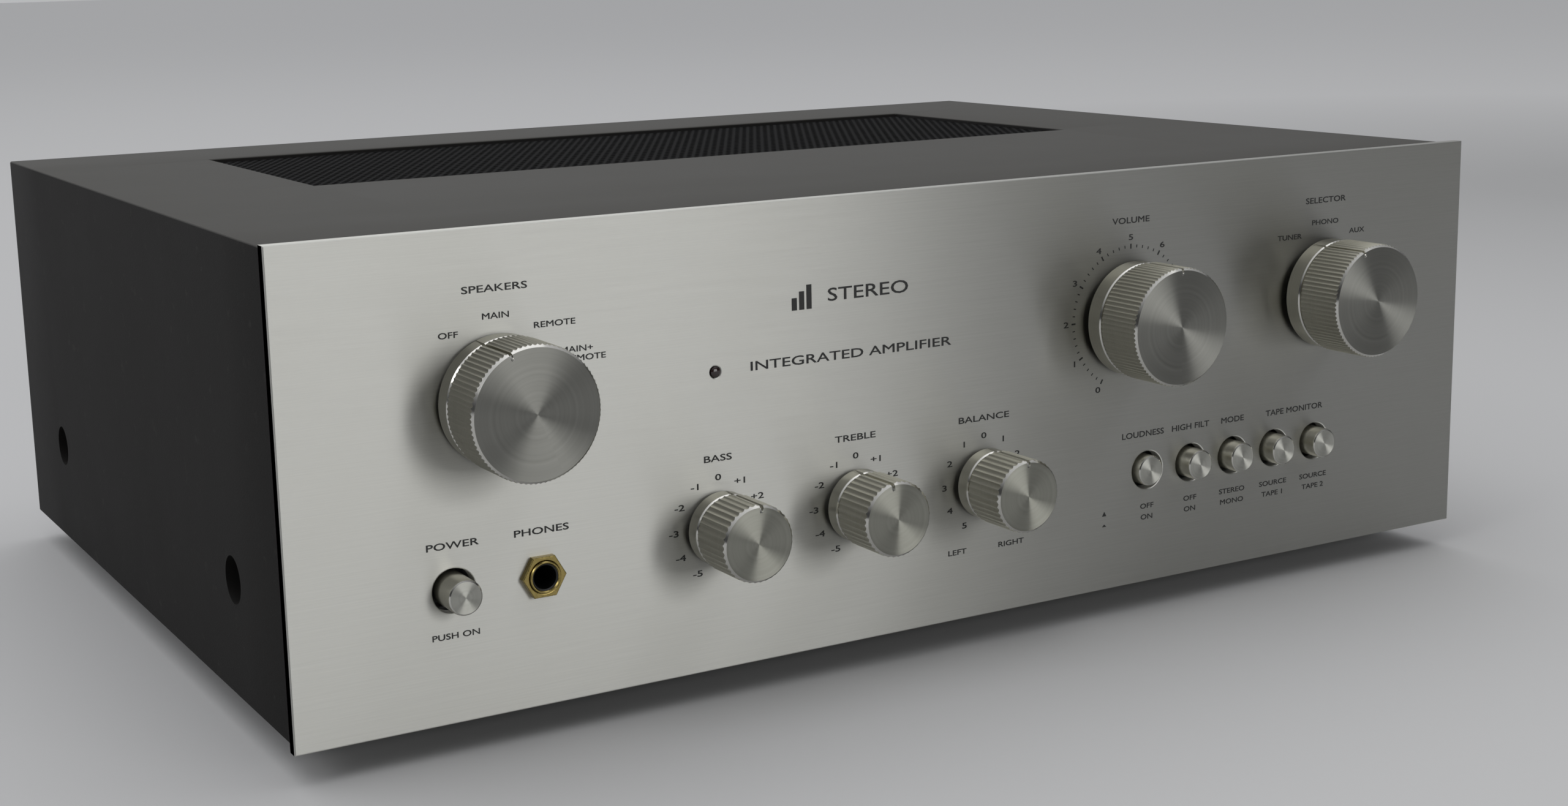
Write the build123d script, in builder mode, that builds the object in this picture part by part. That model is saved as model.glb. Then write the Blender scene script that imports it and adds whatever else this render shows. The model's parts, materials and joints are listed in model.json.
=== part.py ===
from build123d import *
import os
from math import cos, radians, sin

# An integrated stereo amplifier in a vinyl-covered cabinet, in millimetres.
# The frame's origin is the middle of the amplifier's footprint, on the surface that its feet stand on.
# +X is to the user's right, +Y points away from the user and +Z is up.

os.makedirs("parts", exist_ok=True)

# Front panel
PANEL_WIDTH = 410
PANEL_HEIGHT = 130
PANEL_THICKNESS = 3.5
PANEL_BEVEL = 0.6
PANEL_Y = -140
PANEL_BOTTOM = 9
PANEL_BACK = PANEL_Y + PANEL_THICKNESS

# Cabinet of three mitred boards
CABINET_WIDTH = 408
CABINET_BOTTOM = 10
CABINET_TOP = 138.2
CABINET_REAR = 154.5
BOARD = 12
CABINET_INSIDE = CABINET_WIDTH / 2 - BOARD
CLEAT = 16

# Vent in the top board, with a ledge that the grille lies on
VENT_WIDTH = 290
VENT_DEPTH = 113
VENT_Y = 53
VENT_CORNER = 3
VENT_LEDGE = 6
GRILLE_THICKNESS = 1.2
GRILLE_SUNK = 1.2
GRILLE_GAP = 0.3

# Cabinet screws, two in each side
SCREW_SINK_RADIUS = 6.75
SCREW_SINK_DEPTH = 8
SCREW_HOLE_RADIUS = 2.6
SCREW_SHANK_RADIUS = 2.4
SCREW_HEAD_RADIUS = 4.6
SCREW_HEAD_HEIGHT = 2.8
WASHER_RADIUS = 6
WASHER_THICKNESS = 1
SIDE_SCREW_Z = 43.5
SIDE_SCREW_FRONT_Y = -92
SIDE_SCREW_REAR_Y = 105

# Sheet steel chassis
SHEET = 1.2
SHEET_GAP = 0.2
TRAY_FLANGE_TOP = 58
SPACER_LENGTH = 6
SUB_FRONT_Y = PANEL_BACK + SPACER_LENGTH
SUB_FRONT_BACK = SUB_FRONT_Y + SHEET
SUB_FRONT_TOP = 125
REAR_FACE = 152
REAR_INNER = REAR_FACE - SHEET
TRAY_TOP = CABINET_BOTTOM + SHEET
RAIL_HEIGHT = 10

# Feet
FOOT_RADIUS = 11
FOOT_RECESS_RADIUS = 5
FOOT_RECESS_DEPTH = 5
FOOT_X = 165
FOOT_FRONT_Y = -92
FOOT_REAR_Y = 125

# Knobs: the outline runs from the skirt at the panel to the face
LARGE_KNOB_RADIUS = 17.5
LARGE_KNOB_FACE = 24
SMALL_KNOB_RADIUS = 10.5
SMALL_KNOB_FACE = 22
KNOB_GAP = 1.3
KNOB_SKIRT = 4.9
KNOB_GROOVE = 1.1
KNOB_GROOVE_DEPTH = 0.7
KNOB_FLARE = 0.4
KNOB_CHAMFER = 1.1
POINTER_WIDTH = 1.2
POINTER_DEPTH = 1.3
SHAFT_RADIUS = 3
SHAFT_FIT = 0.05
SHAFT_TIP = 16
LARGE_KNOB_Z = PANEL_BOTTOM + 85
SMALL_KNOB_Z = PANEL_BOTTOM + 41

# Every control that turns: x, z, knob radius, knob face, pointer angle clockwise from straight up
TURNED = {
    "speakers": (-145, LARGE_KNOB_Z, LARGE_KNOB_RADIUS, LARGE_KNOB_FACE, -22.5),
    "volume": (64, LARGE_KNOB_Z, LARGE_KNOB_RADIUS, LARGE_KNOB_FACE, 0),
    "selector": (144, LARGE_KNOB_Z, LARGE_KNOB_RADIUS, LARGE_KNOB_FACE, -22.5),
    "bass": (-81, SMALL_KNOB_Z, SMALL_KNOB_RADIUS, SMALL_KNOB_FACE, 6),
    "treble": (-36, SMALL_KNOB_Z, SMALL_KNOB_RADIUS, SMALL_KNOB_FACE, -10),
    "balance": (9, SMALL_KNOB_Z, SMALL_KNOB_RADIUS, SMALL_KNOB_FACE, 0),
}

# Potentiometers and rotary switches: can radius, can length
BUSHING_RADIUS = 4.5
BUSHING_TIP = 4.5
CAN_WALL = 1
NUT_ACROSS_FLATS = 11
NUT_THICKNESS = 2
TONE_CAN = (8.5, 16)
VOLUME_CAN = (12, 20)
SWITCH_CAN = (13, 9)
WAFER_RADIUS = 16
WAFER_THICKNESS = 1.4
WAFER_STEP = 9
WAFER_COUNT = 2
ROD_RADIUS = 1.4
ROD_OFFSET = 11.5
HUB_GAP = 0.5

# Push buttons
BUTTON_Z = PANEL_BOTTOM + 36
BUTTON_RADIUS = 4.8
BUTTON_HOLE_RADIUS = 6
BUTTON_CHAMFER = 0.5
BUTTON_BACK_Y = -131
BUTTON_PITCH = 17.5
FIRST_BUTTON_X = 71.5
BUTTON_OUT = 5
BUTTON_LATCHED_OUT = 1.9
POWER_OUT = 8
POWER_X = -160
STEM_SIZE = 4
STEM_LENGTH = 21
STEM_GAP = 0.3
BANK_PLATE_Y = -123.5
BANK_PLATE_THICKNESS = 1.5
# Housings of the push switches: width, height, length
SIGNAL_SWITCH = (13, 14, 30)
POWER_SWITCH = (20, 22, 38)
SWITCH_CAVITY_LENGTH = 26
BUTTONS = {
    "loudness": (FIRST_BUTTON_X, BUTTON_LATCHED_OUT),
    "high_filter": (FIRST_BUTTON_X + BUTTON_PITCH, BUTTON_OUT),
    "mode": (FIRST_BUTTON_X + 2 * BUTTON_PITCH, BUTTON_OUT),
    "tape_monitor": (FIRST_BUTTON_X + 3 * BUTTON_PITCH, BUTTON_OUT),
    "tape_select": (FIRST_BUTTON_X + 4 * BUTTON_PITCH, BUTTON_OUT),
}
BANK_X = FIRST_BUTTON_X + 2 * BUTTON_PITCH
BANK_WIDTH = 5 * BUTTON_PITCH + 8

# Headphone jack and lamp
JACK_X = -135
JACK_BORE_RADIUS = 3.3
JACK_THREAD_RADIUS = 4.4
JACK_OUT = 2.6
JACK_NUT_OUT = 2
JACK_BODY = 16
JACK_BODY_BACK = -110
JACK_BORE_END = -114.6
LAMP_X = -81
LAMP_Z = PANEL_BOTTOM + 84.7
LAMP_RADIUS = 1.5

# Rear connectors
PHONO_JACK_RADIUS = 4.15
PHONO_JACK_WALL = 0.6
PHONO_JACK_LENGTH = 9
PHONO_PIN_HOLE = 1.7
PHONO_COLUMNS = 7
PHONO_STEP_X = 16
PHONO_STEP_Z = 18
PHONO_X = 112
PHONO_Z = 88
PHONO_PLATE_THICKNESS = 1.6
TERMINAL_BLOCK = (58, 7, 18)
TERMINAL_STEP = 13
TERMINAL_X = (-20, -92)
TERMINAL_Z = 92
OUTLET_X = (-92, -52)
OUTLET_Z = 40
OUTLET_SIZE = (26, 30)
FUSE_X = -128
FUSE_Z = 44
CORD_X = -165
CORD_Z = 40
GROUND_X = 172
GROUND_Z = 62
GROUND_POST_END = 164

# Power supply and amplifier inside
TRANSFORMER_X = -134
TRANSFORMER_Y = 75
CORE_WIDTH = 72
CORE_HEIGHT = 60
CORE_STACK = 34
CORE_LEG = 12
COIL_OVERHANG = 11
STRAP = 1.5
HEATSINK_X = 60
HEATSINK_Y = 112
HEATSINK_WIDTH = 150
HEATSINK_HEIGHT = 62
HEATSINK_BASE = 4
FIN_LENGTH = 20
FIN_COUNT = 14
BOARD_X = 45
BOARD_Y = 20
BOARD_WIDTH = 190
BOARD_DEPTH = 120
BOARD_THICKNESS = 1.6
BOARD_Z = 19


def upright(y):
    """An upright plane across the amplifier at y: local x is +X, local y is +Z, its normal faces the user."""
    return Plane.XZ.offset(-y)


def turning_section(x, z):
    """A plane through a control's axis: local x is the radius, local y is the distance behind y = 0."""
    return Plane(origin=(x, 0, z), x_dir=(1, 0, 0), z_dir=(0, 0, 1))


def turned(x, z, outline):
    """A solid turned about the axis along Y at x, z from an outline of (radius, y) points."""
    with BuildPart() as piece:
        with BuildSketch(turning_section(x, z)):
            with BuildLine():
                Polyline(*outline, close=True)
            make_face()
        revolve(axis=Axis((x, 0, z), (0, 1, 0)))
    return piece.part


def save(part, name):
    """Labels a finished piece and writes it to its own file."""
    part.label = name
    export_step(part, f"parts/{name}.step")


# ---------------------------------------------------------------- front panel and frame behind it

with BuildPart() as front_panel:
    with BuildSketch(upright(PANEL_Y)):
        with Locations((0, PANEL_BOTTOM + PANEL_HEIGHT / 2)):
            Rectangle(PANEL_WIDTH, PANEL_HEIGHT)
    extrude(amount=-PANEL_THICKNESS)
    chamfer(front_panel.faces().sort_by(Axis.Y)[0].edges(), length=PANEL_BEVEL)
    with BuildSketch(upright(PANEL_Y)):
        for x, z, *_ in TURNED.values():
            with Locations((x, z)):
                Circle(SHAFT_RADIUS + 1)
        for x, _ in BUTTONS.values():
            with Locations((x, BUTTON_Z)):
                Circle(BUTTON_HOLE_RADIUS)
        with Locations((POWER_X, BUTTON_Z)):
            Circle(BUTTON_HOLE_RADIUS)
        with Locations((JACK_X, BUTTON_Z)):
            Circle(JACK_THREAD_RADIUS + 0.1)
        with Locations((LAMP_X, LAMP_Z)):
            Circle(LAMP_RADIUS + 0.1)
    extrude(amount=-PANEL_THICKNESS, mode=Mode.SUBTRACT)
save(front_panel.part, "front_panel")

SPACER_PLACES = [(x, z) for x in (-180, 180) for z in (24, 118)]

with BuildPart() as sub_front:
    with BuildSketch(upright(SUB_FRONT_Y)):
        with Locations((0, (TRAY_TOP + SUB_FRONT_TOP) / 2)):
            Rectangle(2 * (CABINET_INSIDE - SHEET_GAP), SUB_FRONT_TOP - TRAY_TOP)
        for x, z, *_ in TURNED.values():
            with Locations((x, z)):
                Circle(BUSHING_RADIUS + 0.1, mode=Mode.SUBTRACT)
        with Locations((BANK_X, BUTTON_Z)):
            Rectangle(BANK_WIDTH, 2 * BUTTON_HOLE_RADIUS + 4, mode=Mode.SUBTRACT)
        with Locations((POWER_X, BUTTON_Z)):
            Circle(BUTTON_HOLE_RADIUS + 1, mode=Mode.SUBTRACT)
        with Locations((JACK_X, BUTTON_Z)):
            Rectangle(JACK_BODY + 2, JACK_BODY + 2, mode=Mode.SUBTRACT)
        with Locations((LAMP_X, LAMP_Z)):
            Circle(3.2, mode=Mode.SUBTRACT)
        with Locations(*SPACER_PLACES):
            Circle(1.7, mode=Mode.SUBTRACT)
    extrude(amount=-SHEET)
save(sub_front.part, "sub_front_panel")

with BuildPart() as panel_spacers:
    with BuildSketch(upright(PANEL_BACK)):
        with Locations(*SPACER_PLACES):
            Circle(4)
            Circle(1.7, mode=Mode.SUBTRACT)
    extrude(amount=-SPACER_LENGTH)
save(panel_spacers.part, "panel_spacers")

with BuildPart() as panel_screws:
    with BuildSketch(upright(PANEL_BACK)):
        with Locations(*SPACER_PLACES):
            Circle(1.5)
    extrude(amount=-(SPACER_LENGTH + SHEET))
    with BuildSketch(upright(SUB_FRONT_BACK)):
        with Locations(*SPACER_PLACES):
            Circle(3)
    extrude(amount=-2)
    with BuildSketch(upright(SUB_FRONT_BACK + 2)):
        with Locations(*SPACER_PLACES):
            Rectangle(4, 0.8)
            Rectangle(0.8, 4)
    extrude(amount=1, mode=Mode.SUBTRACT)
save(panel_screws.part, "panel_screws")

# ---------------------------------------------------------------- cabinet boards

CABINET_LENGTH = CABINET_REAR - PANEL_BACK
OUTER_X = CABINET_WIDTH / 2
INNER_TOP = CABINET_TOP - BOARD
GRILLE_TOP = CABINET_TOP - GRILLE_SUNK
GRILLE_UNDER = GRILLE_TOP - GRILLE_THICKNESS

with BuildPart() as cabinet_top:
    with BuildSketch(upright(PANEL_BACK)):
        with BuildLine():
            Polyline(
                (-OUTER_X, CABINET_TOP),
                (OUTER_X, CABINET_TOP),
                (CABINET_INSIDE, INNER_TOP),
                (-CABINET_INSIDE, INNER_TOP),
                close=True,
            )
        make_face()
    extrude(amount=-CABINET_LENGTH)
    with BuildSketch(Plane.XY.offset(CABINET_TOP)):
        with Locations((0, VENT_Y)):
            RectangleRounded(VENT_WIDTH, VENT_DEPTH, VENT_CORNER)
    extrude(amount=-(CABINET_TOP - GRILLE_UNDER), mode=Mode.SUBTRACT)
    with BuildSketch(Plane.XY.offset(GRILLE_UNDER)):
        with Locations((0, VENT_Y)):
            Rectangle(VENT_WIDTH - 2 * VENT_LEDGE, VENT_DEPTH - 2 * VENT_LEDGE)
    extrude(amount=-BOARD, mode=Mode.SUBTRACT)
save(cabinet_top.part, "cabinet_top")

for side, name in ((-1, "cabinet_side_left"), (1, "cabinet_side_right")):
    with BuildPart() as cabinet_side:
        with BuildSketch(upright(PANEL_BACK)):
            with BuildLine():
                Polyline(
                    (side * OUTER_X, CABINET_TOP),
                    (side * OUTER_X, CABINET_BOTTOM),
                    (side * CABINET_INSIDE, CABINET_BOTTOM),
                    (side * CABINET_INSIDE, INNER_TOP),
                    close=True,
                )
            make_face()
        extrude(amount=-CABINET_LENGTH)
        outside = Plane(origin=(side * OUTER_X, 0, 0), x_dir=(0, side, 0), z_dir=(side, 0, 0))
        with BuildSketch(outside):
            with Locations(
                (side * SIDE_SCREW_FRONT_Y, SIDE_SCREW_Z), (side * SIDE_SCREW_REAR_Y, SIDE_SCREW_Z)
            ):
                Circle(SCREW_SINK_RADIUS)
        extrude(amount=-SCREW_SINK_DEPTH, mode=Mode.SUBTRACT)
        with BuildSketch(outside):
            with Locations(
                (side * SIDE_SCREW_FRONT_Y, SIDE_SCREW_Z), (side * SIDE_SCREW_REAR_Y, SIDE_SCREW_Z)
            ):
                Circle(SCREW_HOLE_RADIUS)
        extrude(amount=-BOARD, mode=Mode.SUBTRACT)
    save(cabinet_side.part, name)

CLEAT_FRONT = SUB_FRONT_BACK + 20
CLEAT_REAR = REAR_INNER - 20

with BuildPart() as cabinet_cleats:
    with BuildSketch(upright(CLEAT_FRONT)):
        for side in (-1, 1):
            with BuildLine():
                Polyline(
                    (side * CABINET_INSIDE, INNER_TOP),
                    (side * (CABINET_INSIDE - CLEAT), INNER_TOP),
                    (side * CABINET_INSIDE, INNER_TOP - CLEAT),
                    close=True,
                )
            make_face()
    extrude(amount=-(CLEAT_REAR - CLEAT_FRONT))
save(cabinet_cleats.part, "cabinet_cleats")

with BuildPart() as vent_grille:
    with BuildSketch(Plane.XY.offset(GRILLE_UNDER)):
        with Locations((0, VENT_Y)):
            RectangleRounded(VENT_WIDTH - 2 * GRILLE_GAP, VENT_DEPTH - 2 * GRILLE_GAP, VENT_CORNER)
    extrude(amount=GRILLE_THICKNESS)
save(vent_grille.part, "vent_grille")

SINK_FLOOR = OUTER_X - SCREW_SINK_DEPTH
SCREW_TIP = CABINET_INSIDE - 6

with BuildPart() as cabinet_screws:
    for side in (-1, 1):
        outside = Plane(origin=(side * SINK_FLOOR, 0, 0), x_dir=(0, side, 0), z_dir=(side, 0, 0))
        places = ((side * SIDE_SCREW_FRONT_Y, SIDE_SCREW_Z), (side * SIDE_SCREW_REAR_Y, SIDE_SCREW_Z))
        with BuildSketch(outside):
            with Locations(*places):
                Circle(SCREW_SHANK_RADIUS)
        extrude(amount=-(SINK_FLOOR - SCREW_TIP))
        with BuildSketch(outside):
            with Locations(*places):
                Circle(WASHER_RADIUS)
        extrude(amount=WASHER_THICKNESS)
        with BuildSketch(outside.offset(WASHER_THICKNESS)):
            with Locations(*places):
                Circle(SCREW_HEAD_RADIUS)
        extrude(amount=SCREW_HEAD_HEIGHT, taper=8)
        with BuildSketch(outside.offset(WASHER_THICKNESS + SCREW_HEAD_HEIGHT)):
            with Locations(*places):
                Rectangle(5, 1)
                Rectangle(1, 5)
        extrude(amount=-1.6, mode=Mode.SUBTRACT)
save(cabinet_screws.part, "cabinet_screws")

# ---------------------------------------------------------------- chassis

TRAY_SIDE = CABINET_INSIDE - SHEET_GAP
FOOT_PLACES = [(x, y) for x in (-FOOT_X, FOOT_X) for y in (FOOT_FRONT_Y, FOOT_REAR_Y)]
FOOT_SCREW_RADIUS = 2

with BuildPart() as chassis_tray:
    with BuildSketch(upright(SUB_FRONT_BACK)):
        with BuildLine():
            Polyline(
                (-TRAY_SIDE, TRAY_FLANGE_TOP),
                (-TRAY_SIDE, CABINET_BOTTOM),
                (TRAY_SIDE, CABINET_BOTTOM),
                (TRAY_SIDE, TRAY_FLANGE_TOP),
                (TRAY_SIDE - SHEET, TRAY_FLANGE_TOP),
                (TRAY_SIDE - SHEET, TRAY_TOP),
                (SHEET - TRAY_SIDE, TRAY_TOP),
                (SHEET - TRAY_SIDE, TRAY_FLANGE_TOP),
                close=True,
            )
        make_face()
    extrude(amount=-(REAR_INNER - SUB_FRONT_BACK))
    with BuildSketch(Plane.XY.offset(CABINET_BOTTOM)):
        with Locations(*FOOT_PLACES):
            Circle(FOOT_SCREW_RADIUS + 0.1)
        with Locations((HEATSINK_X, HEATSINK_Y - 10)):
            with GridLocations(10, 24, 14, 2):
                SlotOverall(18, 3.5, rotation=90)
        with Locations((TRANSFORMER_X, TRANSFORMER_Y)):
            with GridLocations(8, 1, 6, 1):
                SlotOverall(30, 3.5, rotation=90)
    extrude(amount=SHEET, mode=Mode.SUBTRACT)
    with BuildSketch(Plane.YZ.offset(-TRAY_SIDE)):
        with Locations((SIDE_SCREW_FRONT_Y, SIDE_SCREW_Z), (SIDE_SCREW_REAR_Y, SIDE_SCREW_Z)):
            Circle(SCREW_SHANK_RADIUS + 0.1)
    extrude(amount=2 * TRAY_SIDE, mode=Mode.SUBTRACT)
save(chassis_tray.part, "chassis_tray")

with BuildPart() as side_rails:
    with BuildSketch(upright(SUB_FRONT_BACK)):
        for side in (-1, 1):
            with Locations((side * (TRAY_SIDE - SHEET / 2), INNER_TOP - CLEAT - 3 - RAIL_HEIGHT / 2)):
                Rectangle(SHEET, RAIL_HEIGHT)
            with Locations((side * (TRAY_SIDE - 5), INNER_TOP - CLEAT - 3 - SHEET / 2)):
                Rectangle(10, SHEET)
    extrude(amount=-(REAR_INNER - SUB_FRONT_BACK))
save(side_rails.part, "side_rails")

with BuildPart() as rubber_feet:
    with BuildSketch():
        with Locations(*FOOT_PLACES):
            Circle(FOOT_RADIUS - 1)
    extrude(amount=CABINET_BOTTOM, taper=-5)
    with BuildSketch():
        with Locations(*FOOT_PLACES):
            Circle(FOOT_RECESS_RADIUS)
    extrude(amount=FOOT_RECESS_DEPTH, mode=Mode.SUBTRACT)
    with BuildSketch():
        with Locations(*FOOT_PLACES):
            Circle(FOOT_SCREW_RADIUS + 0.1)
    extrude(amount=CABINET_BOTTOM, mode=Mode.SUBTRACT)
save(rubber_feet.part, "rubber_feet")

with BuildPart() as foot_screws:
    with BuildSketch(Plane.XY.offset(FOOT_RECESS_DEPTH)):
        with Locations(*FOOT_PLACES):
            Circle(FOOT_SCREW_RADIUS)
    extrude(amount=TRAY_TOP - FOOT_RECESS_DEPTH + 3)
    with BuildSketch(Plane.XY.offset(FOOT_RECESS_DEPTH)):
        with Locations(*FOOT_PLACES):
            Circle(4)
    extrude(amount=-2.4)
    with BuildSketch(Plane.XY.offset(FOOT_RECESS_DEPTH - 2.4)):
        with Locations(*FOOT_PLACES):
            Rectangle(5, 1)
            Rectangle(1, 5)
    extrude(amount=1.3, mode=Mode.SUBTRACT)
save(foot_screws.part, "foot_screws")

# ---------------------------------------------------------------- controls that turn


def knob(x, z, radius, face, pointer):
    """A knob with a smooth skirt, a groove, a grip a little wider than the skirt and a chamfered face."""
    skirt_front = KNOB_GAP + KNOB_SKIRT
    grip = radius + KNOB_FLARE
    outline = [
        (SHAFT_RADIUS + SHAFT_FIT, PANEL_Y - KNOB_GAP),
        (radius, PANEL_Y - KNOB_GAP),
        (radius, PANEL_Y - skirt_front),
        (radius - KNOB_GROOVE_DEPTH, PANEL_Y - skirt_front),
        (radius - KNOB_GROOVE_DEPTH, PANEL_Y - skirt_front - KNOB_GROOVE),
        (grip, PANEL_Y - skirt_front - KNOB_GROOVE),
        (grip, PANEL_Y - face + KNOB_CHAMFER),
        (grip - KNOB_CHAMFER, PANEL_Y - face),
        (0, PANEL_Y - face),
        (0, PANEL_Y - SHAFT_TIP - 1),
        (SHAFT_RADIUS + SHAFT_FIT, PANEL_Y - SHAFT_TIP - 1),
    ]
    body = turned(x, z, outline)
    reach = grip - POINTER_DEPTH / 2
    with BuildPart() as piece:
        add(body)
        with BuildSketch(upright(PANEL_Y - KNOB_GAP)):
            with Locations((x + reach * sin(radians(pointer)), z + reach * cos(radians(pointer)))):
                Rectangle(POINTER_WIDTH, POINTER_DEPTH, rotation=-pointer)
        extrude(amount=face, mode=Mode.SUBTRACT)
    return piece.part


def shaft(x, z, hub_radius, can_length, tail):
    """A control's shaft: from inside the knob, through its bushing, to a hub that the can holds in."""
    hub_front = SUB_FRONT_BACK + CAN_WALL + HUB_GAP
    hub_back = SUB_FRONT_BACK + can_length - CAN_WALL - HUB_GAP
    outline = [
        (0, PANEL_Y - SHAFT_TIP),
        (SHAFT_RADIUS, PANEL_Y - SHAFT_TIP),
        (SHAFT_RADIUS, hub_front),
        (hub_radius, hub_front),
        (hub_radius, hub_back),
    ]
    if tail > 0:
        outline += [(SHAFT_RADIUS, hub_back), (SHAFT_RADIUS, hub_back + tail), (0, hub_back + tail)]
    else:
        outline += [(0, hub_back)]
    return turned(x, z, outline)


def can(x, z, radius, length):
    """A closed metal can behind the inner front panel, with the bushing that its shaft turns in."""
    back = SUB_FRONT_BACK + length
    return turned(
        x,
        z,
        [
            (SHAFT_RADIUS + SHAFT_FIT, SUB_FRONT_Y - BUSHING_TIP),
            (BUSHING_RADIUS, SUB_FRONT_Y - BUSHING_TIP),
            (BUSHING_RADIUS, SUB_FRONT_BACK),
            (radius, SUB_FRONT_BACK),
            (radius, back),
            (0, back),
            (0, back - CAN_WALL),
            (radius - CAN_WALL, back - CAN_WALL),
            (radius - CAN_WALL, SUB_FRONT_BACK + CAN_WALL),
            (SHAFT_RADIUS + SHAFT_FIT, SUB_FRONT_BACK + CAN_WALL),
        ],
    )


def rotary_switch(x, z):
    """A detent can with two contact wafers behind it, held on two rods."""
    radius, length = SWITCH_CAN
    body = can(x, z, radius, length)
    back = SUB_FRONT_BACK + length
    with BuildPart() as piece:
        add(body)
        with BuildSketch(upright(back - CAN_WALL)):
            with Locations((x, z)):
                Circle(SHAFT_RADIUS + SHAFT_FIT)
        extrude(amount=-CAN_WALL, mode=Mode.SUBTRACT)
        with BuildSketch(upright(back)):
            with Locations((x - ROD_OFFSET, z), (x + ROD_OFFSET, z)):
                Circle(ROD_RADIUS)
        extrude(amount=-WAFER_COUNT * WAFER_STEP)
        for wafer in range(1, WAFER_COUNT + 1):
            with BuildSketch(upright(back + wafer * WAFER_STEP - WAFER_THICKNESS)):
                with Locations((x, z)):
                    Circle(WAFER_RADIUS)
                    Circle(SHAFT_RADIUS + 0.3, mode=Mode.SUBTRACT)
            extrude(amount=-WAFER_THICKNESS)
    return piece.part


for control, (x, z, radius, face, pointer) in TURNED.items():
    save(knob(x, z, radius, face, pointer), f"{control}_knob")

rotary_switches = []
for control in ("speakers", "selector"):
    x, z, *_ = TURNED[control]
    save(shaft(x, z, 8, SWITCH_CAN[1], WAFER_COUNT * WAFER_STEP + CAN_WALL), f"{control}_shaft")
    rotary_switches.append(rotary_switch(x, z))
save(Compound(children=rotary_switches), "rotary_switches")

potentiometers = []
for control in ("bass", "treble", "balance"):
    x, z, *_ = TURNED[control]
    save(shaft(x, z, 6, TONE_CAN[1], 0), f"{control}_shaft")
    potentiometers.append(can(x, z, *TONE_CAN))
x, z, *_ = TURNED["volume"]
save(shaft(x, z, 9, VOLUME_CAN[1], 0), "volume_shaft")
potentiometers.append(can(x, z, *VOLUME_CAN))
save(Compound(children=potentiometers), "potentiometers")

with BuildPart() as control_nuts:
    with BuildSketch(upright(SUB_FRONT_Y)):
        for x, z, *_ in TURNED.values():
            with Locations((x, z)):
                RegularPolygon(NUT_ACROSS_FLATS / 2, 6, major_radius=False)
                Circle(BUSHING_RADIUS + SHAFT_FIT, mode=Mode.SUBTRACT)
    extrude(amount=NUT_THICKNESS)
save(control_nuts.part, "control_nuts")

# ---------------------------------------------------------------- push buttons


def button(x, out):
    """A turned button with a chamfered face and a square stem that reaches into its switch."""
    face = PANEL_Y - out
    back = BUTTON_BACK_Y + BUTTON_OUT - min(out, BUTTON_OUT)
    with BuildPart() as piece:
        with BuildSketch(upright(back)):
            with Locations((x, BUTTON_Z)):
                Circle(BUTTON_RADIUS)
        extrude(amount=back - face)
        chamfer(piece.faces().sort_by(Axis.Y)[0].edges(), length=BUTTON_CHAMFER)
        with BuildSketch(upright(back)):
            with Locations((x, BUTTON_Z)):
                Rectangle(STEM_SIZE, STEM_SIZE)
        extrude(amount=-STEM_LENGTH)
    return piece.part


def push_switch(x, width, height, length):
    """A push switch's housing behind the mounting plate, with the square guide for a button's stem."""
    front = BANK_PLATE_Y + BANK_PLATE_THICKNESS
    guide = STEM_SIZE + 2 * STEM_GAP
    with BuildPart() as piece:
        with BuildSketch(upright(front)):
            with Locations((x, BUTTON_Z)):
                Rectangle(width, height)
        extrude(amount=-length)
        with BuildSketch(upright(front)):
            with Locations((x, BUTTON_Z)):
                Rectangle(guide, guide)
        extrude(amount=-SWITCH_CAVITY_LENGTH, mode=Mode.SUBTRACT)
    return piece.part


def switch_plate(centre, width, height, holes):
    """A mounting plate held off the inner front panel by a tube at each end, with a hole for each stem."""
    tube_x = width / 2 - 3
    with BuildPart() as piece:
        with BuildSketch(upright(BANK_PLATE_Y)):
            with Locations((centre, BUTTON_Z)):
                Rectangle(width, height)
            with Locations(*[(x, BUTTON_Z) for x in holes]):
                Rectangle(STEM_SIZE + 2, STEM_SIZE + 2, mode=Mode.SUBTRACT)
        extrude(amount=-BANK_PLATE_THICKNESS)
        with BuildSketch(upright(SUB_FRONT_BACK)):
            with Locations((centre - tube_x, BUTTON_Z), (centre + tube_x, BUTTON_Z)):
                Circle(2.6)
        extrude(amount=-(BANK_PLATE_Y - SUB_FRONT_BACK))
    return piece.part


for control, (x, out) in BUTTONS.items():
    save(button(x, out), f"{control}_button")
save(button(POWER_X, POWER_OUT), "power_button")

button_places = [x for x, _ in BUTTONS.values()]
push_switches = [push_switch(x, *SIGNAL_SWITCH) for x in button_places]
push_switches.append(push_switch(POWER_X, *POWER_SWITCH))
save(Compound(children=push_switches), "push_switches")

switch_plates = [
    switch_plate(BANK_X, BANK_WIDTH + 14, SIGNAL_SWITCH[1] + 6, button_places),
    switch_plate(POWER_X, POWER_SWITCH[0] + 10, POWER_SWITCH[1] + 2, [POWER_X]),
]
save(Compound(children=switch_plates), "switch_plates")

TONE_BOARD_Y = SUB_FRONT_BACK + TONE_CAN[1]

with BuildPart() as control_boards:
    with BuildSketch(Plane.XY.offset(BUTTON_Z - SIGNAL_SWITCH[1] / 2 - BOARD_THICKNESS)):
        with Locations((BANK_X, BANK_PLATE_Y + 24)):
            Rectangle(BANK_WIDTH + 4, 40)
    extrude(amount=BOARD_THICKNESS)
    with BuildSketch(upright(TONE_BOARD_Y)):
        with Locations((TURNED["treble"][0], SMALL_KNOB_Z)):
            Rectangle(120, 44)
    extrude(amount=-BOARD_THICKNESS)
save(control_boards.part, "control_circuit_boards")

# ---------------------------------------------------------------- headphone jack and power lamp

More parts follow.
